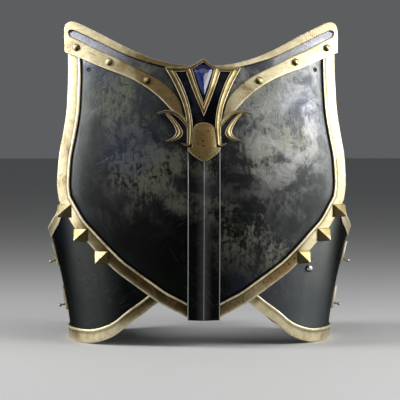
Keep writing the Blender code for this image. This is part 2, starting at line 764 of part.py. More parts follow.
def raise_crown(bm, narrow, spine, rise):
    """Raise a smaller copy of the top face, drawn in towards a spine up the middle."""
    top = max(bm.faces, key=lambda face: face.calc_center_median().z)
    raised = bmesh.ops.extrude_face_region(bm, geom=[top])
    bmesh.ops.delete(bm, geom=[top], context="FACES_ONLY")
    for item in raised["geom"]:
        if isinstance(item, bmesh.types.BMVert):
            middle = max(spine[0], min(item.co.y, spine[1]))
            item.co.x *= narrow
            item.co.y = middle + (item.co.y - middle) * narrow
            item.co.z += rise


def make_crest_boss():
    """The domed shield at the crest's foot."""
    bm = flat_slab(whole_outline(BOSS_OUTLINE), BOSS_BASE, BOSS_BASE + BOSS_EDGE)
    spine = [crest_point((0, share)).y for share in BOSS_SPINE]
    for narrow, share in BOSS_RINGS:
        raise_crown(bm, narrow, spine, (BOSS_DOME - BOSS_EDGE) * share)
    slice_evenly(bm, 0.012)
    wrap_front(bm)
    add_object("crest_boss", bm, COPPER_BRASS)


def make_gem():
    """The long kite-shaped stone, flat underneath, with a girdle, crown facets and a table."""
    centre = crest_point((0.0, GEM_CENTRE))
    outline = [spot - centre for spot in whole_outline(GEM_OUTLINE)]
    bm = flat_slab(outline, 0, GEM_GIRDLE)
    raise_crown(bm, GEM_TABLE, (0, 0), GEM_TALL - GEM_GIRDLE)
    item = add_object("gem", bm, BLUE_GLASS)
    item.data.shade_flat()
    item.matrix_world = frame_at(0, centre.y, CREST_BASE)


def centre_on_footprint():
    """Move the whole cuirass so that its own box is centred over the origin."""
    bpy.context.view_layer.update()
    graph = bpy.context.evaluated_depsgraph_get()
    low, high = 1.0, -1.0
    for item in bpy.data.collections["cuirass"].objects:
        if item.type == "MESH":
            shape = item.evaluated_get(graph)
            for vert in shape.data.vertices:
                along = (shape.matrix_world @ vert.co).y
                low = min(low, along)
                high = max(high, along)
    root = bpy.data.objects["cuirass_root"]
    root.location.y = -(low + high) / 2
    bpy.context.view_layer.update()


def build():
    """Make the whole cuirass."""
    clear_scene()
    for name in ("cuirass", "cutters"):
        collection = bpy.data.collections.new(name)
        bpy.context.scene.collection.children.link(collection)
    root = bpy.data.objects.new("cuirass_root", None)
    bpy.data.collections["cuirass"].objects.link(root)
    make_breast_plate()
    make_centre_blade()
    make_neck_collar()
    make_crest_backing()
    make_crest()
    make_crest_boss()
    make_gem()
    make_plate_rivet()
    for side_name, side in (("left", -1), ("right", 1)):
        make_border_band(side_name, side < 0)
        make_pyramid_studs(side_name, side)
        make_collar_rivets(side_name, side)
        make_side_plate(side_name, side < 0)
        make_lower_trim(side_name, side < 0)
        make_upper_trim(side_name, side < 0)
        make_side_mounts(side_name, side)
    centre_on_footprint()


build()
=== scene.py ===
"""Looks of a cuirass: scuffed steel plates, aged brass bands, a pierced crest and a blue stone.

Shapes are laid out flat in front view (across, up, lift) and wrapped onto one body form, as the solids
are. Metres, +Z up, the wearer faces -Y.
"""

from math import asin, atan2, cos, pi, radians, sin, sqrt, tan

import bmesh
import bpy
from mathutils import Matrix, Vector
from mathutils.kdtree import KDTree


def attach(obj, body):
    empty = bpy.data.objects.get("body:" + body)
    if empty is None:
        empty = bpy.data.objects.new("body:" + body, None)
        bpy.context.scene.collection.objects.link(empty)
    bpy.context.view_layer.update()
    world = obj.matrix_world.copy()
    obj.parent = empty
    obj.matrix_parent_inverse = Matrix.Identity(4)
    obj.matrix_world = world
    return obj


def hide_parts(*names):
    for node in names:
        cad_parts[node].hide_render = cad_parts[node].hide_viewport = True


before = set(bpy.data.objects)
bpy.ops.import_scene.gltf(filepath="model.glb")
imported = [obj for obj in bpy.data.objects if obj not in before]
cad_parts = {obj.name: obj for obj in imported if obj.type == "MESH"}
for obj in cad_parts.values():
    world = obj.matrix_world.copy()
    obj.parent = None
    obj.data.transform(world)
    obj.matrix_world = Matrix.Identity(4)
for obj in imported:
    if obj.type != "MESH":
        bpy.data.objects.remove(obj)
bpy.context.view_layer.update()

# Body form that every plate follows. BODY_SHIFT sets the footprint over the origin
WAIST_HALF = 0.168
SHOULDER_HALF = 0.219
FLARE_HEIGHT = 0.315
WAIST_DEPTH = 0.116
CHEST_DEPTH = 0.132
NECK_DEPTH = 0.092
CHEST_HEIGHT = 0.185
NECK_HEIGHT = 0.355
BACK_DEPTH = 0.100
SQUARENESS = 2.2
BODY_SHIFT = 0.024727

# Breastplate
PLATE_HALF = 0.175
PLATE_TOP = 0.391
PLATE_WALL = 0.0016
FLANGE_RECESS = 0.003
FLANGE_RAMP = 0.006
EDGE_TUCK = 0.0015
ROLL_WIDTH = 0.016
ROLL_DEPTH = 0.0009
# How far the panel reaches, for the roll at its edges, as shares of PLATE_HALF and PLATE_TOP
PANEL_ACROSS, PANEL_UP = 0.75, 0.60
# Heights between which the panel flattens under the collar, and depths over which shade is painted
# in the recessed flange
COLLAR_COVER = (PLATE_TOP * 0.914, PLATE_TOP * 0.932)
FLANGE_SHADE = (0.0011, 0.0026)
# Strap holes: radius, where the rim of painted shade sets in, and reach of the finely divided patch
STRAP_HOLE_RADIUS = 0.0016
STRAP_RIM_SHADE = (0.00296, 0.00232)
STRAP_PATCH = 0.0075

# Brass bands and collar
BAND_WIDTH = 0.0155
BAND_WALL = 0.0016
# BAND_TOP is a place on the border, 1 at the hip and 2 at the top of the armhole
BAND_TOP = 1.82
COLLAR_WALL = 0.0020
COLLAR_CORNER = 0.0085
COLLAR_ROUND = 0.0007
# Round the slot's end the columns fan out. COLLAR_TURN is the share of the fan that keeps to the collar's
# long edges, COLLAR_MEETING the place on its end where strip and rim meet, SLOT_END where the fan begins
COLLAR_TURN = 1 / 3
COLLAR_MEETING = 0.56
SLOT_END = 0.955

# Centre blade
BLADE_HALF = 0.0190
BLADE_RIDGE = 0.0042
BLADE_FOOT = 0.0345

# Studs and rivets
STUD_SIDE = 0.0155
STUD_TALL = 0.0095
STUD_SEAT_WALL = 0.0012
STUD_LEAN_OUT = 0.0025
STUD_LEAN_DOWN = 0.0050
STUD_INSET = 0.0005
STUD_ROUND = 0.00045
# Depths below the peak over which the wear sets in, and the height above the base that takes painted shade
STUD_WORN = (0.0035, 0.0005)
STUD_FOOT_SHADE = 0.0009
RIVET_DIAMETER = 0.0090
RIVET_TALL = 0.0036

# Waist plates and their trims
SIDE_WALL = 0.0020
TRIM_WALL = 0.0018
LOWER_TRIM_WIDTH = 0.0165
UPPER_TRIM_WIDTH = 0.0130
SIDE_FOOT_GAP = 0.0010
SHEET_ROUND = 0.0005
# Heights over which the plate darkens towards its foot
WAIST_FOOT_DARKENING = (0.022, 0.014)
FRONT_TURN = radians(13)
HIP_TURN = radians(52)
REAR_TURN = radians(165)

# Side mounts
MOUNT_TALL = 0.030
MOUNT_HALF = 0.0095
MOUNT_WALL = 0.0022
MOUNT_BALL = 0.0040
MOUNT_STAND = 0.0080
# The stud's seat below the middle, and the piercing, as shares of the mount's height and half width
MOUNT_SEAT = 0.27
MOUNT_HOLE_TALL, MOUNT_HOLE_HALF, MOUNT_HOLE_RISE = 0.60, 0.62, 0.10
MOUNT_TURN = radians(84)

# Crest
CREST_HALF = 0.045
CREST_TALL = 0.120
CREST_ABOVE_NECK = 0.010
BACKING_WALL = 0.0010
BAR_EDGE = 0.0022
BAR_RIDGE = 0.0042
BOSS_EDGE = 0.0022
BOSS_DOME = 0.0054
BOSS_WALL = BOSS_EDGE * 0.75
BOSS_NARROWING = 0.97
GEM_GIRDLE = 0.0012
GEM_TALL = 0.0045
# GEM_CENTRE is a share of CREST_TALL
GEM_CENTRE = 0.835
GEM_ROUND = 0.00012
# Each tier of the stone's crown is how far it narrows and the share of the crown's height that it reaches
GEM_TIERS = [(0.62, 0.60), (0.26, 1.0)]

# Clearances between pieces
SEAM = 0.0004
SLIDE = 0.0006

# Lifts of the stacked layers
BAND_BASE = -FLANGE_RECESS + SEAM
COLLAR_BASE = SEAM
BACKING_BASE = COLLAR_BASE + COLLAR_WALL + SEAM
CREST_BASE = BACKING_BASE + BACKING_WALL + SEAM
BLADE_BASE = SEAM
BOSS_BASE = BLADE_BASE + BLADE_RIDGE + SEAM
SIDE_FACE = -(FLANGE_RECESS + PLATE_WALL + SLIDE + TRIM_WALL + SEAM)
TRIM_BASE = SIDE_FACE + SEAM
STUD_BASE = BAND_BASE + BAND_WALL + SEAM

# Front-view curves. across is a share of PLATE_HALF, up a share of PLATE_TOP
V_EDGE = [(0.0, 0.068), (0.114, 0.095), (0.211, 0.118), (0.297, 0.138), (0.4, 0.17), (0.526, 0.21),
          (0.611, 0.239), (0.726, 0.289), (0.8, 0.324), (0.874, 0.359), (0.931, 0.399), (0.989, 0.445)]
ARM_EDGE = [(0.989, 0.445), (1.0, 0.486), (0.997, 0.524), (0.983, 0.588), (0.954, 0.652), (0.931, 0.716),
            (0.923, 0.778), (0.92, 0.844), (0.923, 0.903), (0.924, 0.95), (0.914, 0.985)]
NECK_EDGE = [(0.0, 0.846), (0.137, 0.849), (0.274, 0.861), (0.4, 0.88), (0.571, 0.918), (0.743, 0.959),
             (0.886, 0.99)]
COLLAR_LOWER = [(0.114, 0.67), (0.16, 0.696), (0.223, 0.723), (0.286, 0.753), (0.366, 0.783),
                (0.457, 0.808), (0.56, 0.829), (0.674, 0.848), (0.8, 0.873), (0.903, 0.893)]
SLOT_LOWER = [(0.154, 0.742), (0.189, 0.768), (0.251, 0.797), (0.326, 0.819), (0.411, 0.839),
              (0.514, 0.861), (0.617, 0.885), (0.726, 0.907), (0.829, 0.932), (0.918, 0.951)]
SLOT_UPPER = [(0.0, 0.841), (0.091, 0.843), (0.183, 0.846), (0.274, 0.852), (0.366, 0.863),
              (0.469, 0.878), (0.571, 0.898), (0.686, 0.924), (0.8, 0.95), (0.906, 0.972)]
COLLAR_UPPER = [(0.0, 0.852), (0.091, 0.854), (0.183, 0.858), (0.274, 0.867), (0.366, 0.88), (0.469, 0.9),
                (0.571, 0.923), (0.686, 0.951), (0.8, 0.978), (0.886, 0.996)]
COLLAR_END = [(0.934, 0.898), (0.94, 0.949), (0.938, 0.976), (0.917, 1.0)]
STRAP_HOLE = (0.774, 0.8455)
COLLAR_RIVETS = [0.43, 0.71, 0.935]
STUD_SHARES = [0.936, 0.768, 0.607]

# Waist plate edges. turn is degrees round the body from the front, up a share of the hip height
SIDE_LOWER = [(13, 0.345), (16, 0.307), (23, 0.224), (30, 0.149), (37, 0.074), (43, 0.035), (49, 0.013),
              (54, 0.003), (60, 0.0), (90, 0.0), (120, 0.0), (136, 0.0), (146, 0.055), (156, 0.185),
              (165, 0.32)]
SIDE_UPPER = [(52, 1.06), (58, 0.985), (65, 0.895), (76, 0.82), (90, 0.775), (110, 0.75), (138, 0.74),
              (165, 0.74)]
MOUNT_HEIGHTS = [("upper", 0.600), ("lower", 0.287)]
PLATE_RIVET_PLACE = (44.3, 0.526)
HIP_HEIGHT = V_EDGE[-1][1] * PLATE_TOP

# Crest curves, right half. across is a share of CREST_HALF, up a share of CREST_TALL
RIM_OUTER = [(0.0, 1.0), (0.38, 0.921), (1.0, 0.917)]
RIM_INNER = [(0.0, 0.962), (0.39, 0.877), (0.88, 0.868)]
BAR_OUTER = [(0.99, 0.908), (0.745, 0.738), (0.53, 0.546), (0.445, 0.375), (0.44, 0.15)]
BAR_INNER = [(0.74, 0.885), (0.545, 0.742), (0.375, 0.558), (0.29, 0.35), (0.325, 0.165)]
ARM_OUTER = [(0.49, 0.91), (0.256, 0.667), (0.0, 0.433)]
ARM_INNER = [(0.3, 0.915), (0.156, 0.733), (0.0, 0.558)]
HORN_UPPER = [(0.4, 0.37), (0.555, 0.442), (0.755, 0.487), (0.978, 0.495), (1.222, 0.467)]
HORN_LOWER = [(0.42, 0.32), (0.6, 0.404), (0.778, 0.454), (0.978, 0.47), (1.2, 0.455)]
CRESCENT_BACK = [(0.955, 0.48), (0.733, 0.4), (0.589, 0.325), (0.545, 0.267), (0.667, 0.217),
                 (0.955, 0.192)]
CRESCENT_FRONT = [(0.98, 0.455), (0.833, 0.383), (0.745, 0.325), (0.722, 0.275), (0.811, 0.233),
                  (0.967, 0.204)]
TINE_UPPER = [(0.38, 0.178), (0.49, 0.172), (0.59, 0.183)]
TINE_LOWER = [(0.38, 0.155), (0.49, 0.153), (0.58, 0.17)]
BACKING_OUTLINE = [(0.0, 0.985), (0.38, 0.906), (0.95, 0.902), (0.69, 0.733), (0.475, 0.546),
                   (0.355, 0.36), (0.3, 0.2), (0.0, 0.2)]
BOSS_ARCH = [(0.0, 0.372), (0.09, 0.369), (0.17, 0.359), (0.235, 0.341), (0.272, 0.312), (0.289, 0.265),
             (0.301, 0.22), (0.311, 0.18), (0.316, 0.14)]
BOSS_TIP = [(0.433, 0.133), (0.41, 0.112), (0.35, 0.082), (0.27, 0.056), (0.17, 0.03), (0.08, 0.01),
            (0.0, 0.0)]
BOSS_SPINE = (0.10, 0.27)
CREST_FOOT = NECK_EDGE[0][1] * PLATE_TOP + CREST_ABOVE_NECK - CREST_TALL
GEM_OUTLINE = [(0.045, 0.942), (0.235, 0.905), (0.235, 0.87), (0.022, 0.625)]

# Cross-sections, run from the outer foot over the face to the inner foot.
# Each row is (share of the width, lift in millimetres, edge wear, grime and painted shade)
# The last column paints shade where a strip meets what it lies on, and in its grooves
BAND_PROFILE = [(0.0, 0.0, 0.2, 0.6), (0.0, 1.0, 0.7, 0.1), (0.025, 1.42, 1.0, 0.0),
                (0.075, 1.6, 0.6, 0.0), (0.2, 1.68, 0.1, 0.0), (0.45, 1.72, 0.0, 0.0),
                (0.68, 1.66, 0.0, 0.1), (0.77, 1.56, 0.0, 0.7), (0.82, 1.72, 0.3, 0.3),
                (0.87, 2.12, 0.9, 0.0), (0.92, 2.28, 1.0, 0.0), (0.97, 2.02, 0.8, 0.0),
                (1.0, 1.2, 0.3, 0.5), (1.0, 0.0, 0.0, 1.0)]
FOOT_PROFILE = [(0.0, 0.0, 0.2, 0.4), (0.0, 1.2, 0.6, 0.0), (0.03, 1.62, 0.9, 0.0), (0.09, 1.8, 0.5, 0.0),
                (0.3, 1.9, 0.1, 0.0), (0.58, 1.88, 0.0, 0.1), (0.74, 1.76, 0.0, 0.6),
                (0.8, 1.9, 0.3, 0.3), (0.86, 2.3, 0.9, 0.0), (0.93, 2.42, 1.0, 0.0),
                (0.98, 2.05, 0.8, 0.0), (1.0, 1.2, 0.4, 0.4), (1.0, 0.0, 0.0, 1.0)]
HIP_PROFILE = [(0.0, 0.0, 0.2, 0.8), (0.0, 1.1, 0.6, 0.2), (0.04, 1.5, 0.9, 0.0), (0.12, 1.68, 0.4, 0.0),
               (0.45, 1.8, 0.0, 0.0), (0.72, 1.76, 0.0, 0.3), (0.8, 2.05, 0.5, 0.1),
               (0.88, 2.38, 1.0, 0.0), (0.96, 2.2, 0.9, 0.0), (1.0, 1.4, 0.6, 0.1), (1.0, 0.0, 0.2, 0.5)]
BLADE_SIDE = [(0.03, 4.14, 0.1, 0.0), (0.5, 2.95, 0.0, 0.0), (0.88, 1.9, 0.0, 0.2), (0.925, 1.8, 0.0, 0.9),
              (0.95, 2.12, 0.6, 0.1), (0.97, 2.25, 1.0, 0.0), (0.99, 2.15, 1.0, 0.0), (1.0, 1.7, 0.5, 0.3),
              (1.0, 0.0, 0.0, 1.0)]
BLADE_PROFILE = [*((-share, *rest) for share, *rest in reversed(BLADE_SIDE)), (0.0, 4.3, 1.0, 0.0),
                 *BLADE_SIDE]

# Crest bars. The rolled edge runs from its foot to the groove beside the ridge, with lifts as shares
# of BAR_EDGE
BAR_ROLL = [(0.0, 0.0, 0.0, 1.0), (0.0, 0.7, 0.3, 0.5), (0.04, 0.94, 0.8, 0.0), (0.09, 1.0, 1.0, 0.0),
            (0.13, 0.88, 0.0, 0.9)]
RIDGE_TOP = 1.91
RIDGE_SHOULDER = 0.08
# Each row is both edges, the stations, the ridge's lift, its share of the width and the length of the rise
CREST_BARS = [(RIM_OUTER, RIM_INNER, 16, BAR_RIDGE * 0.85, 0.32, 0),
              (BAR_OUTER, BAR_INNER, 26, BAR_RIDGE, 0.62, 0.12),
              (ARM_OUTER, ARM_INNER, 16, BAR_RIDGE * 0.95, 0.60, 0.12),
              (HORN_UPPER, HORN_LOWER, 22, BAR_RIDGE * 0.75, 0.40, 0),
              (CRESCENT_BACK, CRESCENT_FRONT, 26, BAR_RIDGE * 0.65, 0.50, 0),
              (TINE_UPPER, TINE_LOWER, 6, BAR_RIDGE * 0.55, 0.50, 0)]

# How finely the pieces are divided
PANEL_COLUMNS, PANEL_ROWS = 46, 56
BLADE_STATIONS = 90
COLLAR_COLUMNS, COLLAR_FAN, COLLAR_ROWS = 66, 18, 8
V_STATIONS, ARM_STATIONS = 110, 70
WAIST_COLUMNS, WAIST_ROWS = 96, 36
FOOT_STATIONS, HIP_STATIONS = 130, 96
DOME_STEPS = 10
ARCH_STATIONS, TIP_STATIONS, BOSS_TIERS = 22, 16, 9
CREST_BEND, BACKING_BEND, BOSS_BEND = 0.008, 0.006, 0.010
NORMAL_STEP = 0.002

# How close points have to be to count as one: in a cut, along a seam, and for the other half or a mark
TOUCH = 1e-6
WELD = 0.00002
NEAR = 0.00005

# Colours of the steel, some of them painted light and shade
FLAKE_OLIVE = (0.125, 0.131, 0.090)
FLAKE_LIT_PALE = (0.30, 0.305, 0.24)
SMEAR_GREY = (0.20, 0.205, 0.195)
HIGHLIGHT_GREY = (0.52, 0.52, 0.505)
BLUED = (0.040, 0.050, 0.105)
LILAC_HIGHLIGHT = (0.36, 0.36, 0.40)
SCRATCH_GREY = (0.36, 0.36, 0.33)
SPECK_BLACK = (0.006, 0.006, 0.006)
RUBBED_STEEL = (0.42, 0.43, 0.43)
STEEL_GRIME_AND_SHADE = (0.003, 0.003, 0.004)

# Colours of the brass, some of them painted shade
DULL_AND_SHADED_BRASS = (0.32, 0.27, 0.17)
PATINA_BROWN = (0.150, 0.098, 0.034)
SHADED_BROWN = (0.040, 0.027, 0.008)
EMBER_RED = (0.180, 0.068, 0.022)
RUST_BROWN = (0.240, 0.125, 0.045)
PIT_BLACK = (0.022, 0.014, 0.007)
SCRATCH_BROWN = (0.16, 0.12, 0.06)
RUBBED_BRASS = (0.90, 0.81, 0.56)
BRASS_GRIME_AND_SHADE = (0.014, 0.010, 0.006)

# Studio. Each softbox is its turn round the front, distance, height, size, power and the height
# that it aims at
FLOOR_HALF = 14.0
FLOOR_GREY = (0.52, 0.52, 0.515, 1)
FLOOR_ROUGHNESS = 0.75
SOFTBOXES = {"softbox_right": (53, 1.30, 0.78, (0.70, 0.75), 15, 0.28),
             "softbox_right_low": (84, 1.15, 0.28, (0.40, 0.50), 6, 0.10),
             "softbox_left": (-72, 1.20, 1.04, (0.42, 0.60), 13.5, 0.28),
             "softbox_left_low": (-84, 1.15, 0.26, (0.36, 0.46), 6, 0.10),
             "softbox_above": (0, 0.9, 1.6, (1.3, 0.6), 4, 0.3)}
SURROUND_GREY = (0.50, 0.51, 0.53, 1)
SURROUND_STRENGTH = 0.22
CAMERA_DISTANCE = 2.0
CAMERA_HEIGHT = 0.255
CAMERA_TURN = radians(-2.3)
LOOK_HEIGHT = 0.171
LOOK_ACROSS = 0.0007
LENS = 144.0


# The body form

def part_way(start, end, share):
    """Value at a share of the way from one to another."""
    return start + (end - start) * share


def half_width(up):
    """Half the body's width at a height."""
    flare = sin(pi / 2 * max(0.0, min(up / FLARE_HEIGHT, 1.0))) ** 1.5
    return part_way(WAIST_HALF, SHOULDER_HALF, flare)


def front_depth(up):
    """How far the body stands forward of its widest line at a height."""
    if up < CHEST_HEIGHT:
        return part_way(CHEST_DEPTH, WAIST_DEPTH, ((CHEST_HEIGHT - up) / CHEST_HEIGHT) ** 2)
    return part_way(CHEST_DEPTH, NECK_DEPTH, ((up - CHEST_HEIGHT) / (NECK_HEIGHT - CHEST_HEIGHT)) ** 2)


def body_point(turn, up):
    """Point on the body: turn is 0 at the front and 90 degrees at the widest line."""
    power = 2 / SQUARENESS
    sideways = half_width(up) * abs(sin(turn)) ** power
    forward = abs(cos(turn)) ** power
    across = sideways if turn >= 0 else -sideways
    along = -front_depth(up) * forward if cos(turn) > 0 else BACK_DEPTH * forward
    return Vector((across, along + BODY_SHIFT, up))


def body_normal(turn, up):
    """Outward direction of the body at a point."""
    round_way = body_point(turn + NORMAL_STEP, up) - body_point(turn - NORMAL_STEP, up)
    rise = body_point(turn, up + NORMAL_STEP) - body_point(turn, up - NORMAL_STEP)
    return round_way.cross(rise).normalized()


def skin(turn, up, lift):
    """Point a given lift outside the body."""
    return body_point(turn, up) + body_normal(turn, up) * lift


def turn_at(across, up):
    """Turn round the body of a point in front view."""
    share = min(abs(across) / half_width(up), 1.0) ** (SQUARENESS / 2)
    return asin(share) if across >= 0 else -asin(share)


def front(across, up, lift):
    """Wrap a front-view point onto the body."""
    return skin(turn_at(across, up), up, lift)


def frame_at(turn, up, lift):
    """Matrix at a point of the body: X round it, Y up it, Z out of it."""
    normal = body_normal(turn, up)
    round_way = (body_point(turn + NORMAL_STEP, up) - body_point(turn - NORMAL_STEP, up)).normalized()
    rise = normal.cross(round_way)
    matrix = Matrix((round_way, rise, normal)).transposed().to_4x4()
    matrix.translation = skin(turn, up, lift)
    return matrix


# Curves

def even(count):
    """Shares from 0 to 1 in even steps."""
    return [index / count for index in range(count + 1)]


def ease(value, low, high):
    """0 below low, 1 above high and a smooth change between."""
    share = max(0.0, min((value - low) / (high - low), 1.0))
    return share * share * (3 - 2 * share)


def smooth_point(rows, share):
    """Point at a share of the way along a smooth curve through the rows."""
    place = max(0.0, min(share, 1.0)) * (len(rows) - 1)
    index = min(int(place), len(rows) - 2)
    part = place - index
    here = Vector(rows[index])
    there = Vector(rows[index + 1])
    before = Vector(rows[index - 1]) if index > 0 else here * 2 - there
    after = Vector(rows[index + 2]) if index + 2 < len(rows) else there * 2 - here
    return 0.5 * (2 * here + (there - before) * part
                  + (2 * before - 5 * here + 4 * there - after) * part ** 2
                  + (3 * here - before - 3 * there + after) * part ** 3)


def plate_point(rows, share):
    """Front-view point, in metres, on one of the plate's curves."""
    place = smooth_point(rows, share)
    return Vector((place.x * PLATE_HALF, place.y * PLATE_TOP))


def plate_speed(rows, share):
    """How fast a plate curve runs, in metres for each whole share."""
    step = 0.01
    low = max(0.0, share - step)
    high = min(1.0, share + step)
    return (plate_point(rows, high) - plate_point(rows, low)) / (high - low)


V_END = plate_speed(V_EDGE, 1.0)
ARM_START = plate_speed(ARM_EDGE, 0.0)
V_START = plate_speed(V_EDGE, 0.0)
HIP_CORNER = atan2(ARM_START.y, ARM_START.x) - atan2(V_END.y, V_END.x)


def border_point(place, inset):
    """Point inset from the V (place 0 to 1) or the armhole edge (place 1 to 2), mitred at the hip."""
    mitre = inset * tan(HIP_CORNER / 2)
    if place <= 1:
        first = inset * V_START.y / (V_START.length * V_START.x)
        rows, share = V_EDGE, part_way(first, 1 - mitre / V_END.length, place)
    else:
        rows, share = ARM_EDGE, part_way(mitre / ARM_START.length, 1, place - 1)
    run = plate_speed(rows, share).normalized()
    return plate_point(rows, share) + Vector((-run.y, run.x)) * inset


def side_edge(rows, turn):
    """Height of a waist plate's edge at a turn."""
    degrees = turn * 180 / pi
    for index in range(len(rows) - 1):
        start, end = rows[index][0], rows[index + 1][0]
        if degrees <= end or index == len(rows) - 2:
            part = max(0.0, min((degrees - start) / (end - start), 1.0))
            return smooth_point(rows, (index + part) / (len(rows) - 1)).y * HIP_HEIGHT
    return 0.0


def crest_point(place):
    """Front-view point, in metres, of a place in the crest's own shares."""
    return Vector((place[0] * CREST_HALF, CREST_FOOT + place[1] * CREST_TALL))


# Making pieces

def wear_layers(bm):
    """The edge wear, and the grime and painted shade, that a piece's material reads."""
    layers = bm.verts.layers.float
    return (layers.get("wear") or layers.new("wear"), layers.get("grime_and_shade") or layers.new("grime_and_shade"))


def mark(bm, rule):
    """Set wear, and grime with painted shade, on every vertex from rule(place)."""
    wear, grime_and_shade = wear_layers(bm)
    for vert in bm.verts:
        vert[wear], vert[grime_and_shade] = rule(vert.co)


def sheet(columns, rows, place):
    """An open grid whose points are placed by place(column value, row value)."""
    bm = bmesh.new()
    bmesh.ops.create_grid(bm, x_segments=len(columns) - 1, y_segments=len(rows) - 1, size=0.5)
    for vert in bm.verts:
        column = columns[round((vert.co.x + 0.5) * (len(columns) - 1))]
        row = rows[round((vert.co.y + 0.5) * (len(rows) - 1))]
        vert.co = place(column, row)
    return bm


def moulding(profile, stations, place):
    """A solid strip: a cross-section drawn along stations, its ends closed. place(share, lift, station)."""
    wraps = profile + profile[:1]
    bm = bmesh.new()
    wear, grime_and_shade = wear_layers(bm)
    bmesh.ops.create_grid(bm, x_segments=len(wraps) - 1, y_segments=len(stations) - 1, size=0.5)
    for vert in bm.verts:
        share, lift, worn, dirt_and_shade = wraps[round((vert.co.x + 0.5) * (len(wraps) - 1))]
        station = stations[round((vert.co.y + 0.5) * (len(stations) - 1))]
        vert.co = place(share, lift / 1000, station)
        vert[wear] = worn
        vert[grime_and_shade] = dirt_and_shade
    close_up(bm)
    return bm


def close_up(bm):
    """Merge seams, fill open ends and point the faces outwards."""
    bmesh.ops.remove_doubles(bm, verts=bm.verts, dist=TOUCH)
    ends = [edge for edge in bm.edges if edge.is_boundary]
    if ends:
        bmesh.ops.holes_fill(bm, edges=ends, sides=0)
    bmesh.ops.recalc_face_normals(bm, faces=bm.faces)


def wrap_front(bm):
    """Bend a flat shape (across, up, lift) over the front of the body."""
    for vert in bm.verts:
        vert.co = front(vert.co.x, vert.co.y, vert.co.z)


def everything(bm):
    """All the geometry of a bmesh."""
    return list(bm.verts) + list(bm.edges) + list(bm.faces)


def put_on_side(bm, side):
    """Mirror a finished right-hand shape over where its side is the left."""
    if side < 0:
        bmesh.ops.scale(bm, vec=(-1, 1, 1), verts=bm.verts)
        bmesh.ops.reverse_faces(bm, faces=bm.faces)


def add_other_half(bm):
    """Complete the right half of an open sheet and face it forwards."""
    bmesh.ops.mirror(bm, geom=everything(bm), axis="X", merge_dist=NEAR)
    bmesh.ops.recalc_face_normals(bm, faces=bm.faces)
    foremost = min(bm.faces, key=lambda face: face.calc_center_median().y)
    if foremost.normal.y > 0:
        bmesh.ops.reverse_faces(bm, faces=bm.faces)


def divide(bm, faces):
    """Divide the edges of some faces finely."""
    bmesh.ops.subdivide_edges(bm, edges=list({edge for face in faces for edge in face.edges}), cuts=4,
                              use_grid_fill=True)


def cut(bm, spot, normal, drop=False):
    """Cut along a plane. drop clears what lies behind it."""
    bmesh.ops.bisect_plane(bm, geom=everything(bm), plane_co=spot, plane_no=normal, dist=TOUCH,
                           clear_inner=drop)


def bevel_all(bm, width, segments):
    """Bevel every edge."""
    bmesh.ops.bevel(bm, geom=list(bm.edges), affect="EDGES", offset=width, segments=segments, profile=0.5,
                    material=-1, clamp_overlap=True)


def top_face(bm):
    """The face with the highest middle."""
    return max(bm.faces, key=lambda face: face.calc_center_median().z)


def slice_evenly(bm, step):
    """Cut a flat shape along even lines so that it can bend over the body."""
    for axis in (0, 1):
        lines = [round(vert.co[axis] / step) for vert in bm.verts]
        for line in range(min(lines), max(lines) + 1):
            normal = Vector((0, 0, 0))
            normal[axis] = 1
            cut(bm, normal * (line * step), normal)


def flat_slab(points, low, high):
    """A flat solid from an outline, standing from one lift to another."""
    bm = bmesh.new()
    corners = [bm.verts.new((point[0], point[1], low)) for point in points]
    base = bm.faces.new(corners)
    raised = bmesh.ops.extrude_face_region(bm, geom=[base])
    tops = [item for item in raised["geom"] if isinstance(item, bmesh.types.BMVert)]
    bmesh.ops.translate(bm, vec=(0, 0, high - low), verts=tops)
    bmesh.ops.recalc_face_normals(bm, faces=bm.faces)
    return bm


def add_object(name, data):
    """A new object in the scene."""
    item = bpy.data.objects.new(name, data)
    bpy.context.scene.collection.objects.link(item)
    return item


def bare_object(name, bm):
    """An object from a bmesh, in the scene but not yet part of the cuirass."""
    mesh = bpy.data.meshes.new(name)
    bm.to_mesh(mesh)
    bm.free()
    return add_object(name, mesh)


def settle(item):
    """Turn a piece's modifiers into its mesh."""
    bpy.context.view_layer.update()
    graph = bpy.context.evaluated_depsgraph_get()
    mesh = bpy.data.meshes.new_from_object(item.evaluated_get(graph))
    item.modifiers.clear()
    item.data = mesh


def carve(item, tool, operation="DIFFERENCE"):
    """Cut one object out of another, or join it on, and remove it."""
    step = item.modifiers.new("carve", "BOOLEAN")
    step.operation = operation
    step.object = tool
    settle(item)
    bpy.data.objects.remove(tool)


def soften(item, width, segments, angle=35):
    """Round the sharp edges of a piece."""
    step = item.modifiers.new("edges", "BEVEL")
    step.width = width
    step.segments = segments
    step.limit_method = "ANGLE"
    step.angle_limit = radians(angle)
    step.use_clamp_overlap = True


def thicken(item, wall, outwards):
    """Give an open sheet its wall."""
    step = item.modifiers.new("wall", "SOLIDIFY")
    step.thickness = wall
    step.offset = 1 if outwards else -1
    step.use_even_offset = not outwards


def dress(item, node, finish, sharp=35):
    """Give a finished piece its material and let it stand for its solid."""
    settle(item)
    item.data.materials.clear()
    item.data.materials.append(finish.material)
    item.data.shade_smooth()
    item.data.set_sharp_from_angle(angle=radians(sharp))
    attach(item, "root")
    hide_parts(node)


# Materials

class Tone:
    """A number that varies over a surface. Arithmetic on it adds Math nodes."""

    def __init__(self, finish, socket):
        self.finish = finish
        self.socket = socket

    def reckon(self, operation, first, second):
        return self.finish.node("ShaderNodeMath", {"operation": operation}, {0: first, 1: second})

    def __add__(self, other):
        return self.reckon("ADD", self, other)

    def __sub__(self, other):
        return self.reckon("SUBTRACT", self, other)

    def __rsub__(self, other):
        return self.reckon("SUBTRACT", other, self)

    def __abs__(self):
        return self.finish.node("ShaderNodeMath", {"operation": "ABSOLUTE"}, {0: self})

    def __mul__(self, other):
        return self.reckon("MULTIPLY", self, other)

    __radd__ = __add__
    __rmul__ = __mul__


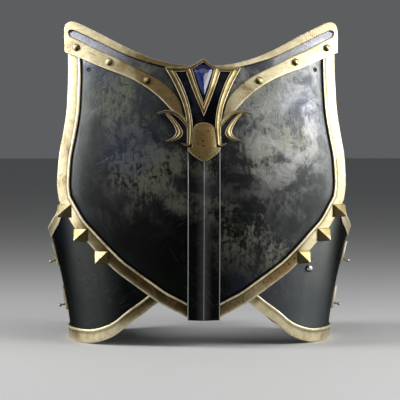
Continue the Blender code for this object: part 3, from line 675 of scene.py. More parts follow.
class Finish:
    """One material of the cuirass and the nodes that make it."""

    def __init__(self, name, slot, metallic, roughness=0.4, coat=0.0):
        self.slot = slot
        self.material = bpy.data.materials.new(name)
        self.material.use_nodes = True
        self.tree = self.material.node_tree
        self.shader = self.tree.nodes["Principled BSDF"]
        self.shader.inputs["Metallic"].default_value = metallic
        self.shader.inputs["Roughness"].default_value = roughness
        self.shader.inputs["Coat Weight"].default_value = coat
        self.place = self.node("ShaderNodeTexCoord", output="Object")

    def node(self, kind, settings=None, inputs=None, output=0):
        """Add a node: its settings first, then the values or links of its sockets."""
        made = self.tree.nodes.new(kind)
        for key, value in (settings or {}).items():
            setattr(made, key, value)
        for key, value in (inputs or {}).items():
            self.feed(made.inputs[key], value)
        return Tone(self, made.outputs[output])

    def feed(self, socket, value):
        """Link a tone to a socket, or set the socket's own value."""
        if isinstance(value, Tone):
            self.tree.links.new(value.socket, socket)
        elif isinstance(value, tuple) and len(value) == 3 and socket.type == "RGBA":
            socket.default_value = (*value, 1)
        else:
            socket.default_value = value

    def into(self, name, value):
        """Feed one of the shader's own sockets."""
        self.feed(self.shader.inputs[name], value)

    def painted(self, name):
        """A value stored on the piece's vertices."""
        return self.node("ShaderNodeAttribute", {"attribute_name": name}, output="Fac")

    def grain(self, scale, detail=5.0, roughness=0.55, distortion=0.0, place=None):
        """Cloudy noise of a given scale."""
        return self.node("ShaderNodeTexNoise", inputs={
            "Vector": place or self.place, "Scale": scale, "Detail": detail,
            "Roughness": roughness, "Distortion": distortion})

    def drawn_out(self, stretch, turn=(0, 0, 0), shift=(0, 0, 0)):
        """Object coordinates turned, then stretched by a factor along each axis."""
        turned = self.node("ShaderNodeMapping", inputs={
            "Vector": self.place, "Rotation": turn, "Location": shift})
        return self.node("ShaderNodeMapping", inputs={"Vector": turned, "Scale": stretch})

    def step(self, value, low, high):
        """0 below low, 1 above high and a smooth change between."""
        return self.node("ShaderNodeMapRange", {"interpolation_type": "SMOOTHSTEP"},
                         {0: value, 1: low, 2: high, 3: 0.0, 4: 1.0})

    def blend(self, share, first, second):
        """One colour turning into another."""
        return self.node("ShaderNodeMix", {"data_type": "RGBA"}, {0: share, 6: first, 7: second}, output=2)

    def layered(self, shade, *layers):
        """A colour with others laid over it in turn, each as (share, colour)."""
        for share, colour in layers:
            shade = self.blend(share, shade, colour)
        return shade

    def axis(self, name):
        """One coordinate of the piece, in metres."""
        return self.node("ShaderNodeSeparateXYZ", inputs={0: self.place}, output=name)

    def scratches(self, turn, shift):
        """Fine straight scratches that run one way."""
        lines = self.grain(1.0, 3.0, 0.5, 0.1, self.drawn_out((45, 45, 900), turn, shift))
        patches = self.grain(18.0, 2.0, place=self.drawn_out((1, 1, 1), turn, shift))
        return self.step(lines, 0.60, 0.70) * self.step(patches, 0.45, 0.62)

    def relief(self, height, depth):
        """Bump from a height between 0 and 1 and its depth in metres."""
        bump = self.node("ShaderNodeBump", inputs={
            "Height": height, "Strength": 1.0, "Distance": depth}, output="Normal")
        self.into("Normal", bump)


def make_steel(name, scuffed, tint, dark, light, inner=0.01, outer=0.16, painted_sheen=0.0, flank_shade=0.0):
    """Dark blued steel with olive-grey flaky scuffs, hair scratches and a bluish tint near its edges.

    scuffed and tint are strengths. Painted light: the steel turns from its dark to its light tone between
    inner and outer, measured out from the middle, and is painted lighter towards the top and on the wearer's
    left. The sheen strength paints a sheen on the wearer's left side and the flank strength paints shade on
    the turn to the sides."""
    steel = Finish(name, "steel", 1.0)
    edge = 1 - 0.85 * flank_shade
    steel.shader.inputs["Specular Tint"].default_value = (edge, edge, edge, 1)
    # Places
    across, up = steel.axis("X"), steel.axis("Z")
    outward = abs(across)
    right_side = steel.step(across, -0.02, 0.14)
    heart = steel.step(outward, 0.165, 0.085)
    above = steel.step(up + across * 0.35, 0.085, 0.180)
    # A painted highlight at the slot's ends, where the upturned steel catches light from above
    slot_end_highlight = steel.step(up, 0.332, 0.352) * steel.step(outward, 0.050, 0.135)
    # Patterns
    cloud = steel.grain(9.0, 6.0, 0.60, 0.4)
    veil = steel.grain(22.0, 8.0, 0.66, 0.9)
    flakes = steel.grain(120.0, 10.0, 0.80, 0.35)
    crumbs = steel.grain(240.0, 6.0, 0.74, 0.3)
    hatch = steel.grain(1.0, 5.0, 0.65, 0.4, steel.drawn_out((210, 210, 38)))
    drift = steel.grain(1.0, 3.0, 0.5, 0.2, steel.drawn_out((34, 34, 5)))
    specks = steel.step(steel.grain(230.0, 3.0, 0.5), 0.67, 0.75)
    blue = steel.step(steel.grain(8.0, 3.0, 0.5, 0.0), 0.46, 0.66) * steel.step(outward, 0.02, 0.05)
    hair = steel.scratches((0.2, 0.5, 0.1), (0.1, 0.3, 0.2))
    hair = hair + steel.scratches((0.3, -0.9, 0.0), (0.7, 0.1, 0.5))
    # Scuffs, flaky in the heart of the plate, and painted highlight in cloudy patches on the wearer's left
    zone = steel.step(cloud, 0.42, 0.58) * (0.20 + heart * 0.80)
    scuff = steel.step(flakes * 0.65 + veil * 0.25 + crumbs * 0.50 + hatch * 0.55 + zone * 0.10, 0.97, 1.13)
    scuff = scuff * zone * above * scuffed
    smear = steel.step(veil + hatch * 0.16, 0.48, 0.76) * (0.3 + zone * 0.7) * (0.05 + above * 0.95) * scuffed
    cloudy_highlight = steel.step(veil * 0.8 + flakes * 0.25 + cloud * 0.3 + hatch * 0.15, 0.66, 0.84)
    cloudy_highlight = cloudy_highlight * right_side * steel.step(up, 0.14, 0.26) * steel.step(outward, 0.158, 0.118)
    # Painted light to the sides, the top and the wearer's left; painted shade low on the wearer's right
    upper_painted_light = steel.step(up, 0.09, 0.33) * (0.40 + right_side * 0.52)
    lift = steel.step(outward, inner, outer) * (0.36 - right_side * 0.10) + upper_painted_light * 0.55 + right_side * painted_sheen
    lift = lift * (0.40 + drift * 0.60 + veil * 0.60) * (1 - steel.step(outward, 0.150, 0.172) * flank_shade)
    lift = lift * (1 - (1 - right_side) * steel.step(up, 0.26, 0.12) * scuffed * 0.85)
    grime_and_shade = steel.painted("grime_and_shade")
    # Smears show more, and the flakes are painted paler, where the painted light falls
    steel.into("Base Color", steel.layered(
        steel.blend(lift, dark, light),
        (smear * (0.28 + lift * 0.30), SMEAR_GREY), (cloudy_highlight * 0.70 * scuffed, HIGHLIGHT_GREY),
        (scuff * 0.75, steel.blend(right_side, FLAKE_OLIVE, FLAKE_LIT_PALE)), (blue * tint, BLUED),
        (slot_end_highlight * 0.75, LILAC_HIGHLIGHT), (hair * 0.07, SCRATCH_GREY), (specks * 0.55, SPECK_BLACK),
        (steel.painted("wear") * 0.8, RUBBED_STEEL), (grime_and_shade * 0.94, STEEL_GRIME_AND_SHADE)))
    steel.into("Roughness", 0.40 + scuff * 0.16 + smear * 0.05 + grime_and_shade * 0.3 + crumbs * 0.08)
    steel.relief(scuff * 0.6 + hair * -0.4 + flakes * 0.30 + hatch * 0.12 + specks * -0.4, 0.00022)
    return steel


def make_brass(name, slot, brown, base, worn_base, painted_shadow=0.0, dull=0.0):
    """Aged brass: cream-gold where rubbed, brown patina towards the middle, dark pits and scratches.

    brown adds patina, the shadow strength paints shade low in the V and dull adds to the roughness. Shade is
    painted on the wearer's right side, and partly in the patina towards the middle."""
    brass = Finish(name, slot, 1.0)
    # Places
    across, up = brass.axis("X"), brass.axis("Z")
    outward = abs(across)
    middle = brass.step(outward, 0.120, 0.040)
    left_side = brass.step(across, 0.05, -0.05)
    # Painted shade low in the V, reaching further out on the wearer's right
    low = brass.step(up, 0.20, 0.11) * brass.step(outward + left_side * -0.030, 0.130, 0.100)
    low = low * brass.step(up - outward * 0.72, 0.002, 0.012) * painted_shadow
    # Painted shade: extra patina on the wearer's right flank
    flank_shade = left_side * brass.step(outward, 0.145, 0.160) * brass.step(up, 0.30, 0.22)
    # Painted shade where the foot trim crosses the V band on the wearer's right
    crossing_shade = left_side * brass.step(up, 0.085, 0.060) * brass.step(outward, 0.100, 0.070)
    # The arm bands dulled, and painted shade on the wearer's right one
    arm = brass.step(outward, 0.156, 0.166) * brass.step(up, 0.352, 0.346)
    ember = brass.step(outward, 0.0065, 0.0020) * brass.step(up, 0.276, 0.284) * brass.step(up, 0.312, 0.296)
    # Patterns
    cloud = brass.grain(17.0, 6.0, 0.62, 0.5)
    mottle = brass.grain(70.0, 8.0, 0.72, 0.9)
    # Patina, heavier towards the middle and low in the V, and painted heavier on the wearer's right as shade
    patina = brass.step(cloud + middle * (0.08 + left_side * 0.38) + low * (0.16 + left_side * 0.06)
                        + flank_shade * 0.12 + mottle * 0.24 + brown, 0.64, 0.92)
    # Painted shade low in the V, towards the middle on the wearer's right and where the trim meets the V
    painted_shade = low * (0.36 + left_side * 0.54) + middle * left_side * 0.45 + crossing_shade * 0.5
    rust = brass.step(brass.grain(32.0, 5.0, 0.6, 0.6), 0.50, 0.66) * patina
    pits = brass.step(brass.grain(330.0, 5.0, 0.70, 0.3) + mottle * 0.15 + patina * 0.08, 0.70, 0.82)
    hair = brass.scratches((0.1, 0.8, 0.1), (0.2, 0.1, 0.4))
    hair = hair + brass.scratches((0.0, -0.4, 0.3), (0.5, 0.3, 0.1))
    wear = brass.painted("wear") * (0.35 + brass.step(mottle, 0.30, 0.60) * 0.65)
    grime_and_shade = brass.painted("grime_and_shade")
    brass.into("Base Color", brass.layered(
        brass.blend(brass.step(mottle, 0.32, 0.66), base, worn_base),
        (arm * (0.15 + left_side * 0.50), DULL_AND_SHADED_BRASS), (patina * 0.90, PATINA_BROWN),
        (painted_shade * 0.95, SHADED_BROWN), (ember * 0.65, EMBER_RED), (rust * 0.50, RUST_BROWN),
        (pits * (0.42 + patina * 0.52), PIT_BLACK), (hair * 0.50, SCRATCH_BROWN),
        (wear * 0.75, RUBBED_BRASS), (grime_and_shade * 0.92, BRASS_GRIME_AND_SHADE)))
    brass.into("Roughness", 0.40 + dull + patina * 0.14 + pits * 0.15 + mottle * 0.08 + grime_and_shade * 0.2)
    brass.relief(mottle * 0.40 + pits * -0.9 + hair * -0.3 + cloud * 0.4, 0.00032)
    return brass


def make_dark_backing():
    """Blackened steel behind the crest."""
    dark = Finish("blackened_steel", "dark_steel", 1.0)
    cloud = dark.grain(60.0, 5.0, 0.6)
    shade = dark.blend(dark.step(cloud, 0.4, 0.7), (0.004, 0.004, 0.006), (0.022, 0.022, 0.030))
    dark.into("Base Color", shade)
    dark.into("Roughness", 0.42 + cloud * 0.2)
    dark.relief(cloud, 0.0002)
    return dark


def make_bright_rivet():
    """Bright steel of the single dome rivet."""
    bright = Finish("bright_rivet_steel", "silver_rivet", 1.0)
    cloud = bright.grain(260.0, 4.0, 0.6)
    shade = bright.blend(bright.step(cloud, 0.45, 0.65), (0.60, 0.61, 0.62), (0.42, 0.42, 0.43))
    # Painted shade on the rivet's lower side and round its foot
    bright.into("Base Color", bright.blend(bright.painted("grime_and_shade") * 0.9, shade, (0.02, 0.02, 0.02)))
    bright.into("Roughness", 0.24 + cloud * 0.14)
    bright.relief(cloud, 0.0001)
    return bright


def make_blue_stone():
    """Deep blue cut stone under a clear coat, with faint cloudy streaks."""
    stone = Finish("blue_cut_stone", "blue_stone", 0.0, roughness=0.20, coat=0.05)
    stone.shader.inputs["IOR"].default_value = 1.60
    cloud = stone.grain(120.0, 3.0, 0.5, 0.4)
    deep = stone.blend(stone.step(cloud, 0.35, 0.70), (0.003, 0.006, 0.045), (0.008, 0.018, 0.140))
    stone.into("Base Color", deep)
    stone.into("Roughness", 0.16 + cloud * 0.10)
    return stone


# Front plate and centre blade

def panel_point(across_share, up_share, inset):
    """Front-view point of the raised panel, bounded by the border's inset lines and the neckline."""
    neck = plate_point(NECK_EDGE, across_share)
    neck_end = plate_point(NECK_EDGE, 1.0)
    neck_start = plate_point(NECK_EDGE, 0.0)
    arm_top = border_point(2.0, inset)
    v_line = border_point(across_share, inset)
    arm_line = border_point(1 + up_share, inset)
    v_start = border_point(0.0, inset)
    hip = border_point(1.0, inset)
    middle = v_start.lerp(neck_start, up_share)
    top = neck + (arm_top - neck_end) * across_share
    sides = middle.lerp(arm_line, across_share) + v_line.lerp(top, up_share)
    corners = v_start.lerp(hip, across_share).lerp(neck_start.lerp(arm_top, across_share), up_share)
    return sides - corners


RAMP_FOOT = BAND_WIDTH + SEAM
FLANGE_STEPS = [(RAMP_FOOT + FLANGE_RAMP * (1 - share),
                 -ROLL_DEPTH - (FLANGE_RECESS - ROLL_DEPTH) * (1 - cos(pi / 2 * share) ** 0.8))
                for share in even(7)[1:]] + [(BAND_WIDTH * 0.5, -FLANGE_RECESS), (EDGE_TUCK, -FLANGE_RECESS)]


def breast_flat(column, row):
    """Flat point (across, up, lift) of the breastplate. Past the panel it steps out over the flange."""
    beyond = max(column - 1, -row)
    if beyond > 0:
        inset, lift = FLANGE_STEPS[round(beyond) - 1]
        place = 1 + max(row, 0) if column > 1 and column - 1 >= -row else min(column, 1)
        spot = border_point(place, inset)
    else:
        spot = panel_point(column, row, RAMP_FOOT + FLANGE_RAMP)
        nearest = min((1 - column) * PLATE_HALF * PANEL_ACROSS, row * PLATE_TOP * PANEL_UP)
        lift = -ROLL_DEPTH * (1 - min(nearest / ROLL_WIDTH, 1.0)) ** 2
    across = 0.0 if column == 0 else spot.x
    up = max(spot.y, BLADE_FOOT + EDGE_TUCK)
    return Vector((across, up, lift * (1 - ease(up, *COLLAR_COVER) * 0.95)))


def make_breastplate(finish):
    """The steel front plate: a pillowed panel in a recessed flange, with two strap holes."""
    beyond = range(1, len(FLANGE_STEPS) + 1)
    columns = [1 - (1 - share) ** 1.4 for share in even(PANEL_COLUMNS)] + [1 + step for step in beyond]
    rows = [-step for step in reversed(beyond)] + [share ** 1.3 for share in even(PANEL_ROWS)]
    bm = sheet(columns, rows, breast_flat)
    # Painted shade in the recessed flange
    mark(bm, lambda co: (0.0, ease(-co.z, *FLANGE_SHADE)))
    wrap_front(bm)
    add_other_half(bm)
    holes = [(side * STRAP_HOLE[0] * PLATE_HALF, STRAP_HOLE[1] * PLATE_TOP) for side in (-1, 1)]
    for hole in holes:
        centre = front(*hole, 0)
        divide(bm, [face for face in bm.faces if (face.calc_center_median() - centre).length < STRAP_PATCH])
    item = bare_object("breastplate_panel", bm)
    thicken(item, PLATE_WALL, outwards=False)
    settle(item)
    for hole in holes:
        cutter = bmesh.new()
        bmesh.ops.create_cone(cutter, cap_ends=True, segments=32, radius1=STRAP_HOLE_RADIUS,
                              radius2=STRAP_HOLE_RADIUS, depth=PLATE_WALL * 6,
                              matrix=frame_at(turn_at(*hole), hole[1], 0))
        carve(item, bare_object("strap_hole", cutter))
        # Painted shade: a dark rim round each hole stands in for the dark of the hole
        grime_and_shade = item.data.attributes["grime_and_shade"].data
        centre = front(*hole, 0)
        for vert in item.data.vertices:
            near = ease((vert.co - centre).length, *STRAP_RIM_SHADE)
            grime_and_shade[vert.index].value = max(grime_and_shade[vert.index].value, near)
    dress(item, "breast_plate", finish)


def make_blade(finish):
    """The ridged strip down the middle, with a fine lip along each edge."""
    top = CREST_FOOT + BOSS_TIP[0][1] * CREST_TALL
    bm = moulding(BLADE_PROFILE, even(BLADE_STATIONS), lambda share, lift, station: Vector((
        share * BLADE_HALF, BLADE_FOOT + station * (top - BLADE_FOOT), BLADE_BASE + lift)))
    wrap_front(bm)
    dress(bare_object("centre_blade_strip", bm), "centre_blade", finish, sharp=18)


# Collar and bands

def rounded_corner(spot, corner, along, beside, radius):
    """Pull a point near a corner inwards so that the corner becomes a quarter round."""
    offset = spot - corner
    twist = along.x * beside.y - along.y * beside.x
    first = (offset.x * beside.y - offset.y * beside.x) / twist
    second = (along.x * offset.y - along.y * offset.x) / twist
    if first > radius or second > radius:
        return spot
    first = 1 - max(first, 0.0) / radius
    second = 1 - max(second, 0.0) / radius
    bent = (first * sqrt(1 - second ** 2 / 2), second * sqrt(1 - first ** 2 / 2))
    return corner + along * (1 - bent[0]) * radius + beside * (1 - bent[1]) * radius


def collar_edge(rows, corner, turn):
    """Front-view point of the collar's outline beside the slot's end, past a corner to the end's middle."""
    if turn >= COLLAR_TURN:
        share = (turn - COLLAR_TURN) / (1 - COLLAR_TURN)
        return plate_point(COLLAR_END, part_way(corner, COLLAR_MEETING, share))
    share = turn / COLLAR_TURN * 2
    if share < 1:
        return plate_point(rows, part_way(SLOT_END, 1, share))
    return plate_point(rows, 1.0).lerp(plate_point(COLLAR_END, corner), share - 1)


def collar_flat(column, row):
    """Front-view point of the collar.

    Rows go up over the strip and the rim, and columns fan out round the slot's end."""
    turn = max(0.0, (column - SLOT_END) / (1 - SLOT_END))
    closing = sin(pi / 2 * turn)
    share = min(column, SLOT_END) + (1 - SLOT_END) * closing
    lower, upper = plate_point(SLOT_LOWER, share), plate_point(SLOT_UPPER, share)
    middle = (lower + upper) / 2
    ahead = (plate_speed(SLOT_LOWER, share) + plate_speed(SLOT_UPPER, share)).normalized()
    run = (lower - middle).dot(ahead)
    offset = (lower - middle - ahead * run) * sqrt(max(0.0, 1 - closing ** 2.4)) + ahead * run * (1 - closing)
    if row <= COLLAR_ROWS:
        edge = collar_edge(COLLAR_LOWER, 0.0, turn) if turn else plate_point(COLLAR_LOWER, share)
        spot = edge.lerp(middle + offset, row / COLLAR_ROWS)
    else:
        edge = collar_edge(COLLAR_UPPER, 1.0, turn) if turn else plate_point(COLLAR_UPPER, share)
        spot = edge.lerp(middle - offset, (COLLAR_ROWS * 2 + 1 - row) / COLLAR_ROWS)
    tip = plate_point(COLLAR_END, 1.0)
    beside = (plate_point(COLLAR_END, 0.8) - tip).normalized()
    along = (plate_point(COLLAR_UPPER, 0.9) - tip).normalized()
    spot = rounded_corner(spot, tip, along, beside, COLLAR_CORNER)
    return Vector((0.0 if column == 0 and row > COLLAR_ROWS else spot.x, spot.y, 0.0))


def make_collar(finish):
    """The collar: a riveted strip and a rim, with a long round-ended slot between them on each side."""
    columns = [share * SLOT_END for share in even(COLLAR_COLUMNS)]
    columns += [part_way(SLOT_END, 1, share) for share in even(COLLAR_FAN)[1:]]
    rows = range(COLLAR_ROWS * 2 + 2)
    bm = sheet(columns, rows, collar_flat)
    wear, grime_and_shade = wear_layers(bm)
    slot_edges = {COLLAR_ROWS, COLLAR_ROWS + 1}
    slot_faces = [face for face in bm.faces
                  if {vert.index // len(columns) for vert in face.verts} == slot_edges]
    for vert in bm.verts:
        rank = vert.index // len(columns)
        if rank in (0, rows[-1]):
            vert[wear] = 0.9
        # Grime and painted shade along the slot's edges
        if rank in slot_edges:
            vert[grime_and_shade] = 0.75
        vert.co.z = COLLAR_BASE
    bmesh.ops.delete(bm, geom=slot_faces, context="FACES")
    bmesh.ops.remove_doubles(bm, verts=bm.verts, dist=WELD)
    wrap_front(bm)
    add_other_half(bm)
    item = bare_object("neck_and_shoulder_collar", bm)
    thicken(item, COLLAR_WALL, outwards=True)
    soften(item, COLLAR_ROUND, 3, angle=50)
    dress(item, "neck_collar", finish, sharp=50)


def make_band(side_name, side, finish):
    """The band down one armhole and along its side of the V, with a bead beside the panel."""
    places = even(V_STATIONS) + [part_way(1, BAND_TOP, share) for share in even(ARM_STATIONS)[1:]]
    bm = moulding(BAND_PROFILE, places, lambda share, lift, place: Vector((
        *border_point(place, share * BAND_WIDTH), BAND_BASE + lift)))
    cut(bm, (BLADE_HALF + SEAM, 0, 0), (1, 0, 0), drop=True)
    close_up(bm)
    wrap_front(bm)
    put_on_side(bm, side)
    dress(bare_object(f"armhole_and_v_band_{side_name}", bm), f"border_band_{side_name}", finish)


def make_studs(side_name, side, finish):
    """Three pyramid studs on the upper part of the V band, leaning out and down."""
    for number, share in enumerate(STUD_SHARES, 1):
        spot = border_point(share, STUD_INSET)
        half = STUD_SIDE / 2
        corners = [(spot.x + half * a, spot.y + half * b) for a, b in ((-1, -1), (1, -1), (1, 1), (-1, 1))]
        bm = flat_slab(corners, STUD_BASE, STUD_BASE + STUD_SEAT_WALL)
        peak = bmesh.ops.poke(bm, faces=[top_face(bm)])["verts"][0]
        peak.co += Vector((STUD_LEAN_OUT, -STUD_LEAN_DOWN, STUD_TALL - STUD_SEAT_WALL))
        bevel_all(bm, STUD_ROUND, 2)
        divide(bm, [face for face in bm.faces if face.calc_area() > 2e-5])
        bm.normal_update()
        mark(bm, lambda co: (ease(co.z, *(STUD_BASE + STUD_TALL - below for below in STUD_WORN)),
                             ease(co.z, STUD_BASE + STUD_FOOT_SHADE, STUD_BASE)))
        # Painted shade on the faces that turn down and in, away from the light
        grime_and_shade = wear_layers(bm)[1]
        for face in bm.faces:
            if face.normal.z > 0.2 and max(-face.normal.x, -face.normal.y) > 0.35 and face.calc_area() > 1e-6:
                for vert in face.verts:
                    vert[grime_and_shade] = 1.0 if -face.normal.y > 0.5 else 0.94
        wrap_front(bm)
        put_on_side(bm, side)
        item = bare_object(f"pyramid_stud_{side_name}_{number}_brass", bm)
        dress(item, f"pyramid_stud_{side_name}_{number}", finish, sharp=28)


def turned_piece(profile, steps, matrix, shaded_way=(0.0, -1.0)):
    """A turned solid from a profile that runs from its top centre down to its foot centre.

    The shaded way is the direction of the side on which shade is painted; shade is painted round the foot
    too."""
    bm = bmesh.new()
    points = [bm.verts.new((radius, 0, height)) for radius, height in profile]
    for start, end in zip(points, points[1:]):
        bm.edges.new((start, end))
    bmesh.ops.spin(bm, geom=everything(bm), cent=(0, 0, 0), axis=(0, 0, 1), angle=2 * pi, steps=steps,
                   use_merge=True)
    bmesh.ops.remove_doubles(bm, verts=bm.verts, dist=TOUCH)
    bmesh.ops.recalc_face_normals(bm, faces=bm.faces)
    tall = max(height for radius, height in profile)
    wide = max(radius for radius, height in profile)
    # Wear on the top; painted shade round the foot and on the shaded side
    mark(bm, lambda co: (ease(co.z, tall * 0.75, tall) * 0.7, max(
        ease(co.z, tall * 0.28, 0.0),
        0.97 * ease(co.x * shaded_way[0] + co.y * shaded_way[1], wide * 0.15, wide * 0.50))))
    bmesh.ops.transform(bm, matrix=matrix, verts=bm.verts)
    return bm


def rivet_rows(tall):
    """Profile of a rivet's low dome with a short upright foot, from its top down."""
    radius = RIVET_DIAMETER / 2
    foot = tall * 0.16
    arc = [(radius * sin(pi / 2 * share), foot + (tall - foot) * cos(pi / 2 * share))
           for share in even(DOME_STEPS)[1:]]
    return [(0.0, tall)] + arc + [(radius, 0.0), (0.0, 0.0)]


def make_collar_rivets(side_name, side, finish):
    """Three dome rivets along the collar's lower strip."""
    for number, share in enumerate(COLLAR_RIVETS, 1):
        spot = (plate_point(COLLAR_LOWER, share) + plate_point(SLOT_LOWER, share)) / 2
        matrix = frame_at(turn_at(side * spot.x, spot.y), spot.y, COLLAR_BASE + COLLAR_WALL + SEAM)
        # Painted shadow on each rivet's inner, lower side
        bm = turned_piece(rivet_rows(RIVET_TALL), 32, matrix, (side * -0.85, -0.50))
        item = bare_object(f"dome_rivet_{side_name}_{number}", bm)
        dress(item, f"collar_rivet_{side_name}_{number}", finish)


# Waist plates

def foot_line(turn):
    """Height of the waist plates' lower edge at a turn."""
    return max(0.0, side_edge(SIDE_LOWER, turn))


def side_point(round_share, up_share):
    """Turn and height of a point of the waist plate."""
    turn = part_way(part_way(FRONT_TURN, HIP_TURN, up_share), REAR_TURN, round_share)
    low = foot_line(part_way(FRONT_TURN, REAR_TURN, round_share)) + SIDE_FOOT_GAP
    high = side_edge(SIDE_UPPER, part_way(HIP_TURN, REAR_TURN, round_share))
    return turn, part_way(low, high, up_share)


def make_waist_plate(side_name, side, finish):
    """The steel plate that comes out from behind the breastplate and runs round the flank."""
    bm = sheet(even(WAIST_COLUMNS), even(WAIST_ROWS),
               lambda column, row: skin(*side_point(column, row), SIDE_FACE))
    # Darker towards the foot
    mark(bm, lambda co: (0.0, ease(co.z, *WAIST_FOOT_DARKENING) * 0.35))
    put_on_side(bm, side)
    item = bare_object(f"waist_plate_{side_name}", bm)
    thicken(item, SIDE_WALL, outwards=False)
    soften(item, SHEET_ROUND, 2)
    dress(item, f"side_plate_{side_name}", finish)


def make_trim(name, node, profile, width, low_edge, turns, side, finish):
    """A beaded brass trim that follows one edge of the waist plate."""
    bm = moulding(profile, turns, lambda share, lift, turn: skin(
        turn, low_edge(turn) + share * width, TRIM_BASE + lift))
    for vert in bm.verts:
        vert.co.z = max(vert.co.z, 0.0)
    put_on_side(bm, side)
    dress(bare_object(name, bm), node, finish)


def make_waist_trims(side_name, side, finish):
    """The trim that the cuirass stands on and the one along the hip."""
    foot_turns = [part_way(FRONT_TURN, REAR_TURN, share) for share in even(FOOT_STATIONS)]
    make_trim(f"foot_trim_{side_name}", f"lower_trim_{side_name}", FOOT_PROFILE, LOWER_TRIM_WIDTH,
              foot_line, foot_turns, side, finish)
    hip_turns = [part_way(HIP_TURN, REAR_TURN, share) for share in even(HIP_STATIONS)]
    make_trim(f"hip_trim_{side_name}", f"upper_trim_{side_name}", HIP_PROFILE, UPPER_TRIM_WIDTH,
              lambda turn: side_edge(SIDE_UPPER, turn) - UPPER_TRIM_WIDTH, hip_turns, side, finish)


def make_plate_rivet(finish):
    """The bright dome rivet on the wearer's left waist plate."""
    degrees, share = PLATE_RIVET_PLACE
    matrix = frame_at(radians(degrees), share * HIP_HEIGHT, SIDE_FACE + SEAM)
    bm = turned_piece(rivet_rows(RIVET_TALL * 1.2), 32, matrix)
    dress(bare_object("waist_plate_dome_rivet", bm), "plate_rivet", finish)


def teardrop(tall, half, count, rise=0.0):
    """Outline of a teardrop with its point up."""
    angles = [2 * pi * index / count for index in range(count)]
    return [(half * 1.12 * sin(angle / 2) ** 1.6 * sin(angle), tall / 2 * cos(angle) + rise)
            for angle in angles]


def make_flank_mounts(side_name, side, plate_finish, stud_finish):
    """Two pierced teardrop mounts on the flank, each with a ball stud."""
    for level, share in MOUNT_HEIGHTS:
        matrix = frame_at(side * MOUNT_TURN, share * HIP_HEIGHT, TRIM_BASE)
        bm = flat_slab(teardrop(MOUNT_TALL, MOUNT_HALF, 48), 0, MOUNT_WALL)
        mark(bm, lambda co: (1.0, 0.0))
        item = bare_object(f"flank_mount_{side_name}_{level}", bm)
        hole = teardrop(MOUNT_TALL * MOUNT_HOLE_TALL, MOUNT_HALF * MOUNT_HOLE_HALF, 32,
                        MOUNT_TALL * MOUNT_HOLE_RISE)
        carve(item, bare_object("piercing", flat_slab(hole, -MOUNT_WALL, 2 * MOUNT_WALL)))
        soften(item, SHEET_ROUND, 3)
        settle(item)
        item.data.transform(matrix)
        dress(item, f"side_mount_{side_name}_{level}", plate_finish)
        seat = matrix @ Matrix.Translation((0, -MOUNT_TALL * MOUNT_SEAT, MOUNT_WALL + SEAM))
        ball = MOUNT_BALL / 2
        neck = ball * 0.5
        arc = [(ball * sin(angle), MOUNT_STAND - ball + ball * cos(angle))
               for angle in (radians(15 * step) for step in range(1, 10))]
        profile = [(0.0, MOUNT_STAND)] + arc + [(neck, MOUNT_STAND - ball * 1.85), (neck, ball * 0.35),
                                                (ball * 0.75, ball * 0.15), (ball * 0.75, 0.0), (0.0, 0.0)]
        stud = bare_object(f"ball_stud_{side_name}_{level}", turned_piece(profile, 24, seat))
        dress(stud, f"mount_stud_{side_name}_{level}", stud_finish)


# Crest

def ridged_bar(one_edge, other_edge, count, ridge, peak, taper):
    """A bar between two curves, with rolled edges, a sharp ridge and a flat underside.

    peak is the ridge's share of the width and taper the share of the length over which the bar rises."""
    groove, low = BAR_ROLL[-1][:2]
    before = RIDGE_TOP - (RIDGE_TOP - low) / (peak - groove) * RIDGE_SHOULDER
    after = RIDGE_TOP - (RIDGE_TOP - low) / (1 - groove - peak) * RIDGE_SHOULDER
    shape = [*BAR_ROLL, (peak - RIDGE_SHOULDER, before, 0.0, 0.0), (peak, RIDGE_TOP, 1.0, 0.0),
             (peak + RIDGE_SHOULDER, after, 0.0, 0.0),
             *((1 - share, *rest) for share, *rest in reversed(BAR_ROLL))]
    profile = [(share, 1000 * tall * BAR_EDGE * ridge / BAR_RIDGE, worn, dirt_and_shade)
               for share, tall, worn, dirt_and_shade in shape]

    def place(share, lift, station):
        spot = crest_point(smooth_point(one_edge, station)).lerp(
            crest_point(smooth_point(other_edge, station)), share)
        grown = 0.55 + 0.45 * ease(station, -0.01, taper) if taper else 1.0
        return Vector((spot.x, spot.y, CREST_BASE + lift * grown))
    return bare_object("crest_bar", moulding(profile, even(count), place))


def make_crest(finish):
    """Rim, bars, arms, horns, crescents and tines, soldered into one."""
    bars = [ridged_bar(*row) for row in CREST_BARS]
    marks = []
    for bar in bars:
        worn, dirt_and_shade = (bar.data.attributes[name].data for name in ("wear", "grime_and_shade"))
        marks += [(vert.co.copy(), (worn[vert.index].value, dirt_and_shade[vert.index].value))
                  for vert in bar.data.vertices]
    nearest = KDTree(len(marks))
    for index, (spot, _) in enumerate(marks):
        nearest.insert(spot, index)
    nearest.balance()
    first = bars[0]
    for bar in bars[1:]:
        carve(first, bar, "UNION")
    bm = bmesh.new()
    bm.from_mesh(first.data)
    bpy.data.objects.remove(first)
    wear, grime_and_shade = wear_layers(bm)
    # Points made where the bars meet take grime and painted shade
    for vert in bm.verts:
        index, distance = nearest.find(vert.co)[1:]
        vert[wear], vert[grime_and_shade] = marks[index][1] if distance < NEAR else (0.1, 0.7)
    cut(bm, (0, 0, 0), (1, 0, 0), drop=True)
    slice_evenly(bm, CREST_BEND)
    bmesh.ops.mirror(bm, geom=everything(bm), axis="X", merge_dist=NEAR)
    seam = [face for face in bm.faces if all(abs(vert.co.x) < 1e-5 for vert in face.verts)]
    bmesh.ops.delete(bm, geom=seam, context="FACES_ONLY")
    bmesh.ops.remove_doubles(bm, verts=bm.verts, dist=WELD)
    bmesh.ops.recalc_face_normals(bm, faces=bm.faces)
    wrap_front(bm)
    dress(bare_object("crest_frame", bm), "crest", finish, sharp=20)


